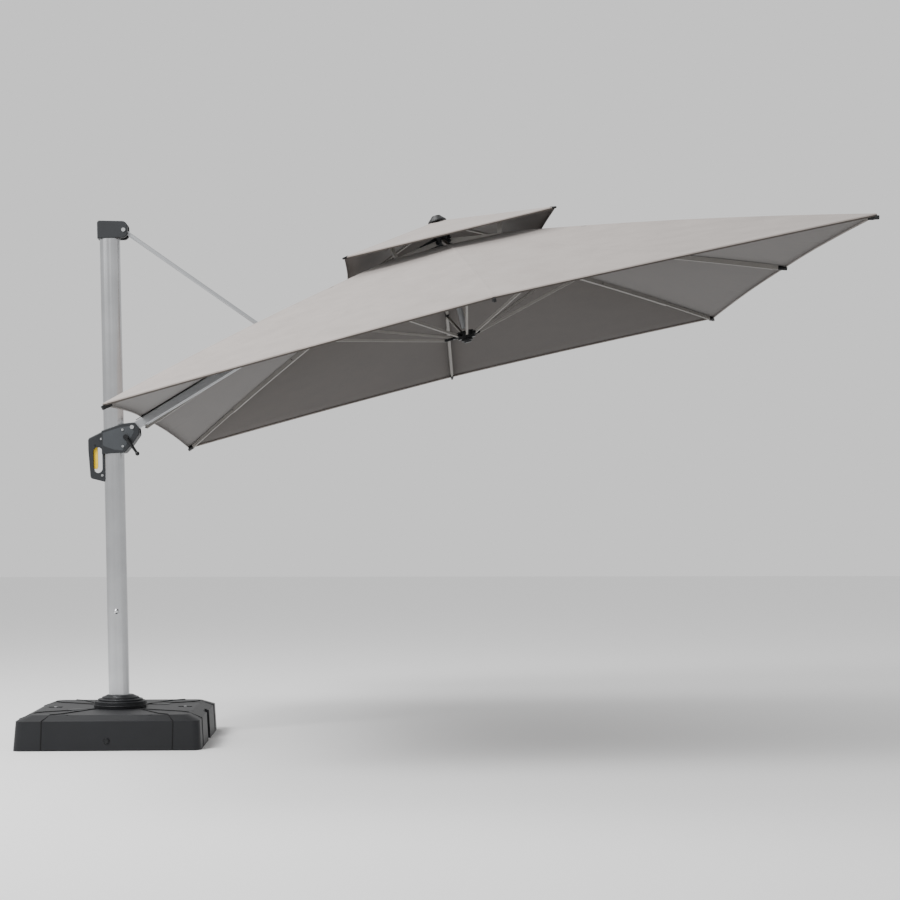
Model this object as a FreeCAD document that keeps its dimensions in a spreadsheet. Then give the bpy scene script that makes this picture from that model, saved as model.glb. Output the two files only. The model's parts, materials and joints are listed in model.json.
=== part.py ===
import FreeCAD, Part
import math
import os
import re

import Sketcher

# Cantilever patio umbrella with a ballast base: a square, double-top canopy hung from a raked mast.
# Frame: origin on the ground under the mast, +Z up, canopy towards +X. Millimetres and degrees.

V = FreeCAD.Vector
X_AXIS, Y_AXIS, Z_AXIS = V(1, 0, 0), V(0, 1, 0), V(0, 0, 1)

SIZES = {
    # clearances
    "running_gap": 0.06,  # radial, pin in hole
    "side_gap": 0.4,  # between parts that move past each other
    "tongue_corner": 4.8,
    "seat_gap": 0.3,  # between a loose part and what carries it
    # ballast tank
    "tank_side": 806,
    "tank_rim": 126,  # height where the side wall ends
    "tank_crown": 148,  # height of the raised middle
    "tank_bevel": 62,  # width of the sloping border round the top
    "tank_draft": 8,  # how far each wall leans in
    "tank_wall": 5,
    "tank_corner": 34,
    "sand_level": 98,
    "tank_notch": 26,  # depth of the notch in the middle of each back edge
    "notch_half": 50,
    "groove_wide": 5,
    "groove_deep": 3,
    "panel_half": 281,  # half width of the middle panel at the wall
    "panel_bend": 212,  # half width of the middle panel where its seams turn
    "panel_bend_out": 300,
    "panel_root": 96,
    "filler_radius": 44,
    "filler_tall": 9,
    "filler_neck": 30,
    "filler_out": 168,
    "filler_aside": 128,
    "drain_radius": 13,
    "drain_tall": 14,
    "drain_height": 42,
    "anchor_out": 292,
    "anchor_radius": 9,
    "anchor_tall": 8,
    "recess_long": 62,
    "recess_wide": 34,
    "recess_deep": 6,
    "frame_bar_wide": 60,
    "frame_bar_tall": 24,
    "frame_reach": 330,
    # turning joint and foot
    "post_radius": 26,
    "post_flange": 90,
    "post_flange_thick": 8,
    "turn_plate_radius": 96,
    "turn_plate_thick": 10,
    "socket_tall": 150,
    "socket_wall": 4,
    "cover_radius": 117.5,
    "cover_rim": 26,
    "cover_tall": 56,
    "cover_wall": 3,
    # mast
    "mast_rake": 1.76,  # degrees, the top leans away from the canopy
    "mast_wide": 92,
    "mast_deep": 68,
    "mast_wall": 2.6,
    "mast_bottom": 172,
    "mast_split": 470,
    "mast_top": 2338,
    "sleeve_wall": 3,
    "sleeve_long": 300,
    "mast_bolt_height": 582,
    "mast_bolt_radius": 6,
    "mast_bolt_head": 12.5,
    "cap_back": 52,
    "cap_front": 86,
    "cap_low": 2290,
    "cap_high": 2372,
    "cap_side_wall": 5,
    "strut_pin_out": 68,
    "strut_pin_height": 2326,
    "strut_pin_radius": 9,
    # slider with handle
    "slider_height": 1417.5,
    "slider_half": 44,  # half thickness, across the mast
    "slider_fit": 0.5,
    "arm_pin_out": 88.7,
    "arm_pin_radius": 7,
    "panel_thick": 2.5,
    "handle_half": 17,
    "crank_out": 62,
    "crank_drop": 46,
    "crank_long": 92,
    "crank_root_radius": 9,
    "crank_tip_radius": 5.5,
    "crank_ball_radius": 9.8,
    "crank_boss_radius": 12,
    "crank_boss_tall": 21.5,
    "drum_radius": 11,
    "drum_half": 15,
    "axle_radius": 5,
    # arm and strut
    "arm_long": 1668.3,
    "arm_tall": 44,
    "arm_wide": 40,
    "arm_wall": 2.4,
    "arm_start": 62,
    "root_tongue": 90,
    "arm_to_strut": 780.4,
    "strut_long": 866.4,
    "cord_radius": 1.75,
    "cord_entry": 360,
    "strut_wide": 40,
    "strut_tall": 17,
    "strut_wall": 1.8,
    "strut_corner": 5,
    "fork_cheek": 4,
    "fork_long": 70,
    "fork_tall": 40,
    "link_pin_radius": 6,
    "link_slot_half": 15.5,
    # canopy frame
    "canopy_to_arm": 17.7,  # degrees between arm and canopy plane
    "hub_high": 539,  # arm end above the plane of the canopy corners
    "hub_radius": 44,
    "hub_top": 614,
    "hub_low": 498,
    "neck_long": 108,
    "neck_tongue": 80,
    "rib_pin_high": 520,
    "rib_pin_out": 50,
    "rib_pin_radius": 4,
    "lug_thick": 3.5,
    "west_pin_out": 85,  # the rib beside the arm
    "west_aside": 42,
    "west_ear": 13,
    "centre_tube_radius": 13.5,
    "centre_tube_wall": 1.5,
    "centre_tube_low": 112,
    "finial_radius": 44.5,
    "finial_tall": 30,
    "runner_high": 80,
    "runner_radius": 40,
    "runner_tall": 34,
    "runner_pin_out": 60,
    "runner_pin_radius": 3,
    "runner_lug": 3.5,
    "knob_radius": 27,
    "knob_low": 44,
    # ribs, braces and cloth
    "corner_half": 1500,
    "mid_half": 1541.5,
    "mid_lift": 37,
    "rib_tall": 22,
    "rib_wide": 14,
    "rib_wall": 1.4,
    "tip_tall": 17,
    "tip_wide": 10,
    "rib_step": 1700,  # where the outer tube of a corner rib ends
    "corner_bow": 20,
    "mid_bow": 14,
    "brace_drop": 20,  # brace pin below a rib's centre line
    "corner_brace_at": 769,
    "mid_brace_at": 775,
    "west_brace_at": 777.5,
    "brace_tall": 12,
    "brace_wide": 10,
    "cheek_thick": 2.5,
    "cloth": 1,
    "cloth_over_vent_rib": 2.6,
    "cloth_over_rib": 3.4,
    "cloth_over_arm": 5.5,
    "link_opening_back": 75,  # the slit in the cloth where the strut comes through
    "link_opening_front": 30,
    "link_opening_half": 31,
    "vent_hole_half": 280,
    "vent_half": 475.5,
    "vent_corner_high": 487,
    "vent_neck_out": 34,
    "vent_neck_high": 618,
    "vent_rib_wide": 12,
    "vent_rib_tall": 6,
    "vent_rib_root": 78,
    "clip_out": 336,
    "clip_wide": 22,
    "clip_thick": 9,
}

doc = FreeCAD.newDocument("PatioUmbrella")
sheet = doc.addObject("Spreadsheet::Sheet", "Dims")
for row, (alias, value) in enumerate(SIZES.items(), start=1):
    sheet.set(f"A{row}", str(value))
    sheet.setAlias(f"A{row}", alias)
doc.recompute()

parts = {}  # node name -> document object


# ---------------------------------------------------------------- helpers
def size(text):
    """The value of a size, or of a formula of sizes, read from the sheet."""
    return float(sheet.evalExpression(linked(text)))


def linked(text):
    """A formula of sizes, as the expression that binds a property to the sheet."""
    return re.sub(r"[a-z_]{2,}", lambda w: f"Dims.{w[0]}" if w[0] in SIZES else w[0], str(text))


def bind(thing, **formulas):
    """Bind properties of a document object to formulas of sizes."""
    for name, text in formulas.items():
        thing.setExpression(name, linked(text))


def keep(node, thing, frame=None):
    """Give a finished sub-part its name and its place."""
    thing.Label = node
    if frame is not None:
        thing.Placement = frame
    parts[node] = thing
    return thing


def spin(angle, axis=Y_AXIS, at=V()):
    """A frame turned by an angle about an axis through a point."""
    return FreeCAD.Placement(V(), FreeCAD.Rotation(axis, angle), at)


def shift(along, aside=0.0, up=0.0):
    """A frame moved without turning."""
    return FreeCAD.Placement(V(along, aside, up), FreeCAD.Rotation())


def new_body(name):
    return doc.addObject("PartDesign::Body", name)


def new_sketch(body, plane="XY_Plane", offset="0"):
    """A sketch on one of the body's own origin planes, moved along the plane's normal."""
    sketch = body.newObject("Sketcher::SketchObject", body.Name + "_outline")
    datum = [f for f in body.Origin.OriginFeatures if f.Role == plane][0]
    sketch.AttachmentSupport = [(datum, "")]
    sketch.MapMode = "FlatFace"
    sketch.setExpression("AttachmentOffset.Base.z", linked(offset))
    return sketch


def pin_point(sketch, item, end, across, up):
    """Hold one end of a line or arc at a place given by two formulas."""
    for kind, text in (("DistanceX", across), ("DistanceY", up)):
        made = sketch.addConstraint(Sketcher.Constraint(kind, -1, 1, item, end, size(text)))
        sketch.setExpression(f"Constraints[{made}]", linked(text))


def arc_middle(start, end, radius, side):
    """The middle of the shorter arc from start to end that bulges to the left (+1) or right (-1)."""
    chord = end - start
    rise = radius - math.sqrt(max(radius**2 - chord.Length**2 / 4, 0))
    left = V(-chord.y, chord.x, 0).normalize()
    return (start + end) / 2 + left * rise * side


def trace(sketch, corners):
    """A closed outline. A corner is (across, up), or (across, up, radius, side) when an arc leads to it."""
    points = [V(size(c[0]), size(c[1]), 0) for c in corners]
    for k, corner in enumerate(corners):
        start, end = points[k - 1], points[k]
        if len(corner) == 2:
            item, last = sketch.addGeometry(Part.LineSegment(start, end)), 2
        else:
            middle = arc_middle(start, end, size(corner[2]), corner[3])
            item = sketch.addGeometry(Part.Arc(start, middle, end))
            reversed_arc = (sketch.getPoint(item, 1) - end).Length < (sketch.getPoint(item, 2) - end).Length
            last = 1 if reversed_arc else 2
            made = sketch.addConstraint(Sketcher.Constraint("Radius", item, size(corner[2])))
            sketch.setExpression(f"Constraints[{made}]", linked(corner[2]))
        pin_point(sketch, item, last, corner[0], corner[1])
        if k:
            sketch.addConstraint(Sketcher.Constraint("Coincident", before[0], before[1], item, 3 - last))
        else:
            first = (item, 3 - last)
        before = (item, last)
    sketch.addConstraint(Sketcher.Constraint("Coincident", before[0], before[1], *first))


def extrude(body, sketch, length, both=True, back=False):
    """Pad a sketch, to both sides of its plane or to one."""
    feature = body.newObject("PartDesign::Pad", body.Name + "_pad")
    feature.Profile = sketch
    feature.SideType = "Symmetric" if both else "One side"
    feature.Reversed = back
    bind(feature, Length=length)
    doc.recompute()
    body.Tip = feature
    return feature


def revolve(body, sketch):
    """Turn a sketch on the XZ plane about the body's Z axis."""
    feature = body.newObject("PartDesign::Revolution", body.Name + "_turned")
    feature.Profile = sketch
    axis = [f for f in body.Origin.OriginFeatures if f.Role == "Z_Axis"][0]
    feature.ReferenceAxis = (axis, [""])
    feature.Angle = 360
    doc.recompute()
    body.Tip = feature
    return feature


def round_edges(body, radius, wanted):
    """Fillet the edges of the body's tip that a test picks."""
    tip = body.Tip
    names = [f"Edge{n}" for n, edge in enumerate(tip.Shape.Edges, start=1) if wanted(edge)]
    feature = body.newObject("PartDesign::Fillet", body.Name + "_rounded")
    feature.Base = (tip, names)
    bind(feature, Radius=radius)
    doc.recompute()
    body.Tip = feature
    return feature


def along(edge, axis):
    """Whether an edge is a straight one along an axis."""
    if edge.Curve.TypeId != "Part::GeomLine":
        return False
    return abs(abs(edge.tangentAt(edge.FirstParameter).dot(axis)) - 1) < 1e-6


def solid(kind, name, frame=None, **formulas):
    """A Part primitive with its sizes bound to the sheet."""
    thing = doc.addObject("Part::" + kind, name)
    bind(thing, **formulas)
    if frame is not None:
        thing.Placement = frame
    return thing


def pin(name, radius, low, high, frame):
    """A cylinder along the frame's Y axis, from low to high."""
    turned = frame * shift(0, size(low), 0) * spin(-90, X_AXIS)
    return solid("Cylinder", name, turned, Radius=radius, Height=f"({high}) - ({low})")


def block(name, frame, length, width, height):
    """A box with its corner at the frame's origin."""
    return solid("Box", name, frame, Length=length, Width=width, Height=height)


def minus(name, base, *tools):
    """base without tools."""
    cut = doc.addObject("Part::Cut", name + "_cut")
    cut.Base = base
    cut.Tool = plus(name + "_tools", *tools) if len(tools) > 1 else tools[0]
    return cut


def plus(name, *pieces):
    """pieces joined into one."""
    fused = doc.addObject("Part::MultiFuse", name + "_joined")
    fused.Shapes = list(pieces)
    fused.Refine = True
    return fused


def tube(name, width, height, corner, wall, long):
    """A rounded rectangular tube along the body's X axis, centred on it."""
    body = new_body(name)
    half_w, half_h = f"({width})/2", f"({height})/2"
    sketch = new_sketch(body, "YZ_Plane")
    rounded(sketch, half_w, half_h, corner)
    rounded(sketch, f"{half_w}-({wall})", f"{half_h}-({wall})", f"({corner})-({wall})*0.8")
    extrude(body, sketch, long, both=False)
    return body


def rounded(sketch, half_w, half_h, corner):
    """A rectangle with round corners, centred on the sketch's origin."""
    w, h, r = f"({half_w})", f"({half_h})", f"({corner})"
    trace(sketch, [
        (f"-{w}", f"{h}-{r}"), (f"-{w}", f"-{h}+{r}"),
        (f"-{w}+{r}", f"-{h}", r, -1), (f"{w}-{r}", f"-{h}"),
        (w, f"-{h}+{r}", r, -1), (w, f"{h}-{r}"),
        (f"{w}-{r}", h, r, -1), (f"-{w}+{r}", h),
        (f"-{w}", f"{h}-{r}", r, -1),
    ][1:])


# ---------------------------------------------------------------- frames
def four_bar():
    """Where slider, strut and arm meet in the raked mast's frame: (arm's rise, strut's dip) in degrees."""
    top = V(size("strut_pin_out"), 0, size("strut_pin_height"))
    low = V(size("arm_pin_out"), 0, size("slider_height"))
    side = top - low
    arm, strut, post = size("arm_to_strut"), size("strut_long"), side.Length
    lean = math.degrees(math.atan2(side.x, side.z))
    at_low = math.degrees(math.acos((post**2 + arm**2 - strut**2) / (2 * post * arm)))
    at_top = math.degrees(math.acos((post**2 + strut**2 - arm**2) / (2 * post * strut)))
    return 90 - at_low - lean, 90 - at_top + lean


arm_rise, strut_dip = four_bar()
MAST = spin(-size("mast_rake"))
SLIDER = MAST * shift(0, 0, size("slider_height"))
ARM = SLIDER * shift(size("arm_pin_out")) * spin(-arm_rise)
STRUT = MAST * shift(size("strut_pin_out"), 0, size("strut_pin_height")) * spin(strut_dip)
CANOPY = ARM * shift(size("arm_long")) * spin(size("canopy_to_arm")) * shift(0, 0, -size("hub_high"))


# ---------------------------------------------------------------- ballast base
def ballast_tank():
    """Blow-moulded tank: drafted walls, bevelled top, seams between the panels, a hollow inside."""
    name = "ballast_tank"
    outer = drafted_box(name, "tank_side/2", "0", "tank_rim", "tank_side/2-tank_draft", "tank_corner")
    crown = drafted_box(name + "_crown", "tank_side/2-tank_draft", "tank_rim", "tank_crown",
                        "tank_side/2-tank_bevel", "tank_corner")
    hollow = drafted_box(name + "_hollow", "tank_side/2-tank_wall", "tank_wall+frame_bar_tall", "tank_rim",
                         "tank_side/2-tank_draft-tank_wall", "tank_corner-tank_wall")
    notches, liners = [], []
    for turn in (90, 180):
        corner = spin(turn, Z_AXIS) * shift(-size("notch_half"), -size("tank_side/2") - 1, -1)
        notches.append(block(name + "_notch", corner, "2*notch_half", "tank_notch+1", "tank_crown+2"))
        corner = corner * shift(-size("tank_wall"), 0, 0)
        liners.append(block(name + "_liner", corner, "2*(notch_half+tank_wall)",
                            "tank_notch+1+tank_wall", "tank_crown+2"))
    tools = [minus(name + "_inside", hollow, *liners), *notches]
    for turn in range(4):
        frame = spin(90 * turn, Z_AXIS)
        for side in (-1, 1):
            tools += seam(f"{name}_seam{turn}{side + 1}", frame, side)
    for turn in range(4):
        bar = spin(90 * turn, Z_AXIS) * shift(0, -size("frame_bar_wide/2+1"), -1)
        tools.append(block(f"{name}_channel", bar, "frame_reach+2", "frame_bar_wide+2", "frame_bar_tall+2"))
    well = size("post_flange+2")
    tools.append(solid("Cylinder", name + "_well", shift(0, 0, -1), Radius=well, Height="tank_crown+2"))
    for side in (-1, 1):
        frame = spin(90 - 90 * side, Z_AXIS)
        low = size("tank_crown-recess_deep")
        corner = frame * shift(size("anchor_out-recess_long/2"), -size("recess_wide/2"), low)
        tools.append(block(f"{name}_recess", corner, "recess_long", "recess_wide", "recess_deep+1"))
        hole = frame * shift(size("anchor_out"), 0, -1)
        tools.append(solid("Cylinder", f"{name}_bolt_hole", hole, Radius="anchor_radius/2+running_gap",
                           Height="tank_crown+2"))
        spot = frame * filler_spot() * shift(0, 0, size("tank_crown-filler_tall"))
        tools.append(solid("Cylinder", f"{name}_filler_seat", spot, Radius="filler_radius+side_gap",
                           Height="filler_tall+1"))
        neck = frame * filler_spot() * shift(0, 0, size("tank_rim-tank_wall-1"))
        tools.append(solid("Cylinder", f"{name}_filler_hole", neck, Radius="filler_neck+side_gap",
                           Height="tank_crown"))
    drain = shift(0, -size("tank_side/2+1"), size("drain_height"))
    tools.append(solid("Cylinder", name + "_drain_hole", drain * spin(-90, X_AXIS),
                       Radius="drain_radius-3", Height="tank_draft+tank_wall+4"))
    solid_tank = minus(name, plus(name, outer, crown), *tools)
    keep(name, solid_tank)


def filler_spot():
    """Where a filler cap sits, on the crown beside the foot."""
    return shift(-size("filler_out"), -size("filler_aside"), 0)


def drafted_box(name, half, low, high, half_top, corner):
    """A square block with round corners whose walls lean in."""
    body = new_body(name.replace("-", "_"))
    sketches = []
    for level, side in ((low, half), (high, half_top)):
        sketch = new_sketch(body, "XY_Plane", level)
        rounded(sketch, side, side, corner)
        sketches.append(sketch)
    loft = body.newObject("PartDesign::AdditiveLoft", body.Name + "_loft")
    loft.Profile = sketches[0]
    loft.Sections = [sketches[1]]
    loft.Ruled = True
    doc.recompute()
    body.Tip = loft
    return body


def seam(name, frame, side):
    """The three cuts of one panel seam: down the wall, over the bevel, and in towards the foot."""
    wide = size("groove_wide")
    wall_out = size("tank_side/2-groove_deep-tank_draft")
    wall = frame * shift(side * size("panel_half") - wide / 2, -wall_out - 40, -1)
    cuts = [block(name + "_wall", wall, "groove_wide", "40", "tank_crown+2")]
    points = [V(size("panel_half"), size("tank_side/2")), V(size("panel_bend"), size("panel_bend_out")),
              V(size("panel_root/2"), size("panel_root"))]
    floor = size("tank_crown-groove_deep")
    for k, (start, end) in enumerate(zip(points, points[1:])):
        run = end - start
        turn = math.degrees(math.atan2(-run.y * -1, side * run.x))
        place = frame * shift(side * start.x, -start.y, floor) * spin(turn, Z_AXIS) * shift(0, -wide / 2, 0)
        cuts.append(block(f"{name}_top{k}", place, str(run.Length), "groove_wide", "groove_deep+1"))
    return cuts


def base_parts():
    ballast_tank()
    sand = drafted_box("sand_fill", "tank_side/2-tank_wall-seat_gap", "tank_wall+frame_bar_tall+seat_gap",
                       "sand_level", "tank_side/2-tank_draft-tank_wall-seat_gap", "tank_corner-tank_wall")
    core = solid("Cylinder", "sand_core", shift(0, 0, 0), Radius="post_flange+tank_wall+4",
                 Height="tank_crown")
    tools = [core]
    for side in (-1, 1):
        frame = spin(90 - 90 * side, Z_AXIS)
        hole = frame * shift(size("anchor_out"), 0, 0)
        tools.append(solid("Cylinder", "sand_bolt_hole", hole, Radius="anchor_radius+4", Height="tank_crown"))
    for turn in (90, 180):
        corner = spin(turn, Z_AXIS) * shift(-size("notch_half+tank_wall+3"), -size("tank_side/2") - 1, 0)
        tools.append(block("sand_notch", corner, "2*(notch_half+tank_wall+3)", "tank_notch+tank_wall+4",
                           "tank_crown"))
    drain = shift(0, -size("tank_side/2"), size("drain_height")) * spin(-90, X_AXIS)
    tools.append(solid("Cylinder", "sand_drain", drain, Radius="drain_radius+2", Height="30"))
    keep("sand_fill", minus("sand_fill", sand, *tools))

    bars = []
    for turn in range(2):
        bar = spin(90 * turn, Z_AXIS) * shift(-size("frame_reach"), -size("frame_bar_wide/2"), 0)
        bars.append(block("cross_bar", bar, "frame_reach*2", "frame_bar_wide", "frame_bar_tall"))
    spots = [spin(turn, Z_AXIS) * shift(size("anchor_out"), 0, -1) for turn in (180, 0)]
    bores = [solid("Cylinder", "cross_bolt_hole", spot,
                   Radius="anchor_radius/2+running_gap", Height="frame_bar_tall+2") for spot in spots]
    keep("cross_frame", minus("cross_frame", plus("cross_frame", *bars), *bores))

    stem = solid("Cylinder", "post_stem", shift(0, 0, size("frame_bar_tall")), Radius="post_radius",
                 Height="tank_crown+60-frame_bar_tall")
    flange = solid("Cylinder", "post_flange_disc", shift(0, 0, size("frame_bar_tall")), Radius="post_flange",
                   Height="post_flange_thick")
    rest = solid("Cylinder", "post_shoulder", shift(0, 0, size("frame_bar_tall")), Radius="post_flange-30",
                 Height="tank_crown-frame_bar_tall")
    keep("pivot_post", plus("pivot_post", stem, flange, rest))

    for name, side in (("filler_cap_front", 1), ("filler_cap_back", -1)):
        spot = spin(90 - 90 * side, Z_AXIS) * filler_spot() * shift(0, 0, size("tank_crown-filler_tall"))
        lid = solid("Cylinder", name + "_lid", spot, Radius="filler_radius", Height="filler_tall+2")
        neck = solid("Cylinder", name + "_neck", spot * shift(0, 0, -10), Radius="filler_neck", Height="10")
        keep(name, plus(name, lid, neck))

    body = new_body("drain_plug")
    sketch = new_sketch(body, "XZ_Plane")
    head = "drain_radius"
    trace(sketch, [("0", "0"), ("drain_radius-4", "0"), ("drain_radius-4", "drain_tall"),
                   (head, "drain_tall"), (f"{head}-3", "drain_tall+5"), ("0", "drain_tall+6.5")])
    revolve(body, sketch)
    slant = "tank_draft/tank_rim"
    seat = -size(f"tank_side/2-{slant}*(drain_height-drain_radius)+seat_gap-drain_tall")
    keep("drain_plug", body, shift(0, seat, size("drain_height")) * spin(90, X_AXIS))

    for name, side in (("anchor_bolt_west", -1), ("anchor_bolt_east", 1)):
        frame = spin(90 - 90 * side, Z_AXIS) * shift(size("anchor_out"), 0, 0)
        low = frame * shift(0, 0, 4)
        shank = solid("Cylinder", name + "_shank", low, Radius="anchor_radius/2",
                      Height="tank_crown-recess_deep-4")
        top = frame * shift(0, 0, size("tank_crown-recess_deep"))
        washer = solid("Cylinder", name + "_washer", top, Radius="anchor_radius+3", Height="1.5")
        head = solid("Prism", name + "_head", top, Polygon=6, Circumradius="anchor_radius",
                     Height="anchor_tall")
        keep(name, plus(name, shank, washer, head))


base_parts()


# ---------------------------------------------------------------- turning joint, foot cover and mast
def oval(sketch, grow="0"):
    """The mast's section: flat sides with half-round ends, grown by a distance."""
    rounded(sketch, f"mast_wide/2+({grow})", f"mast_deep/2+({grow})", f"mast_deep/2+({grow})-1")


def oval_bar(name, grow, low, high, hollow=None):
    """A length of the mast's section in the mast's frame, solid or with an inner size."""
    body = new_body(name)
    sketch = new_sketch(body, "XY_Plane", low)
    oval(sketch, grow)
    if hollow is not None:
        oval(sketch, hollow)
    extrude(body, sketch, f"({high}) - ({low})", both=False)
    return body


def mast_parts():
    floor = "tank_crown+side_gap"
    disc = solid("Cylinder", "turn_disc", shift(0, 0, size(floor)), Radius="turn_plate_radius",
                 Height="turn_plate_thick")
    low = f"{floor}+turn_plate_thick-1"
    socket = oval_bar("turn_socket", "-mast_wall-0.2", low, f"{low}+socket_tall",
                      "-mast_wall-0.2-socket_wall")
    socket.Placement = MAST
    bore = solid("Cylinder", "turn_bore", shift(0, 0, 100), Radius="post_radius+running_gap", Height="200")
    keep("turn_plate", minus("turn_plate", plus("turn_plate", disc, socket), bore))

    body = new_body("foot_cover_cone")
    sketch = new_sketch(body, "XZ_Plane")
    base, rim, top = floor, f"{floor}+cover_rim", f"{floor}+cover_tall"
    rise = "(cover_tall-cover_rim)"
    trace(sketch, [
        ("cover_radius-cover_wall", base), ("cover_radius-2", base), ("cover_radius", f"{base}+3"),
        ("cover_radius", f"{rim}-4"), ("cover_radius-6", rim), ("cover_radius-20", f"{rim}+{rise}*0.24"),
        ("cover_radius-22", f"{rim}+{rise}*0.36"), ("cover_radius-38", f"{rim}+{rise}*0.58"),
        ("cover_radius-40", f"{rim}+{rise}*0.7"), ("cover_radius-58", top), ("0", top),
        ("0", f"{top}-cover_wall"), ("cover_radius-60", f"{top}-cover_wall"),
        ("cover_radius-cover_wall", f"{rim}-8"),
    ])
    revolve(body, sketch)
    opening = oval_bar("foot_cover_opening", "side_gap", "100", "300")
    opening.Placement = MAST
    keep("foot_cover", minus("foot_cover", body, opening))

    for node, start, end in (("mast_lower", "mast_bottom", "mast_split"),
                             ("mast_upper", "mast_split", "mast_top")):
        keep(node, oval_bar(node, "0", start, end, "-mast_wall"), MAST)
    half = "sleeve_long/2"
    sleeve = oval_bar("sleeve_tube", "-mast_wall-0.2", f"mast_split-{half}", f"mast_split+{half}",
                      "-mast_wall-0.2-sleeve_wall")
    bolt_frame = shift(0, 0, size("mast_bolt_height"))
    across = "mast_deep/2"
    holes = [pin(name, "mast_bolt_radius+running_gap", "-mast_deep", "mast_deep", bolt_frame)
             for name in ("sleeve_hole", "mast_hole")]
    keep("joint_sleeve", minus("joint_sleeve", sleeve, holes[0]), MAST)
    upper = parts.pop("mast_upper")
    upper.Placement = FreeCAD.Placement()
    keep("mast_upper", minus("mast_upper", upper, holes[1]), MAST)

    shank = pin("bolt_shank", "mast_bolt_radius", f"-{across}-1", f"{across}+1", bolt_frame)
    heads = []
    for side in (-1, 1):
        ball = solid("Sphere", "bolt_dome", shift(0, side * size(f"{across}-4"), size("mast_bolt_height")),
                     Radius="mast_bolt_head")
        low, high = (f"{across}", f"{across}+20") if side > 0 else (f"-{across}-20", f"-{across}")
        slab = pin("bolt_side", "mast_bolt_head+1", low, high, bolt_frame)
        head = doc.addObject("Part::Common", "bolt_head")
        head.Base, head.Tool = ball, slab
        heads.append(head)
    keep("mast_bolt", plus("mast_bolt", shank, *heads), MAST)

    body = new_body("mast_cap_shell")
    sketch = new_sketch(body, "XZ_Plane")
    trace(sketch, [
        ("-cap_back", "cap_low"), ("cap_front-24", "cap_low"), ("cap_front", "cap_low+24", "24", -1),
        ("cap_front", "cap_high-30"), ("cap_front-26", "cap_high-4", "26", -1),
        ("-cap_back+12", "cap_high"), ("-cap_back", "cap_high-12", "12", -1),
    ])
    cheek = "mast_deep/2+cap_side_wall"
    extrude(body, sketch, f"2*({cheek})")
    round_edges(body, "4", lambda e: abs(abs(e.CenterOfMass.y) - size(cheek)) < 0.01
                and e.CenterOfMass.z > size("cap_low") + 1)
    inside = oval_bar("cap_socket", "0.05", "cap_low-5", "mast_top+0.2")
    slot = block("cap_slot", shift(size("mast_wide/2+4"), -size("strut_wide/2+side_gap"), size("cap_low") - 5),
                 "60", "strut_wide+2*side_gap", "cap_high-cap_low-6")
    hole = pin("cap_hole", "strut_pin_radius/2+running_gap", "-60", "60",
               shift(size("strut_pin_out"), 0, size("strut_pin_height")))
    keep("mast_cap", minus("mast_cap", body, inside, slot, hole), MAST)
    spot = shift(size("strut_pin_out"), 0, size("strut_pin_height"))
    shank = pin("strut_shank", "strut_pin_radius/2", f"-({cheek})", cheek, spot)
    near = pin("strut_head_near", "strut_pin_radius", f"-({cheek})-4", f"-({cheek})", spot)
    far = pin("strut_head_far", "strut_pin_radius", cheek, f"{cheek}+4", spot)
    keep("strut_bolt", plus("strut_bolt", shank, near, far), MAST)


# ---------------------------------------------------------------- slider, grip lever and crank
def panel_outline(sketch):
    """The side plate, following the housing's edge. Millimetres from the slider's origin."""
    trace(sketch, [
        ("-44", "-24"), ("-44", "-80"), ("-29.3", "-88"), ("7.4", "-101.3"), ("44.3", "-106"),
        ("84.7", "-47"), ("96.6", "-22"), ("92", "-4"), ("75.6", "4.5"), ("40.6", "1.4"), ("-19", "-15.5"),
    ])


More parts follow.
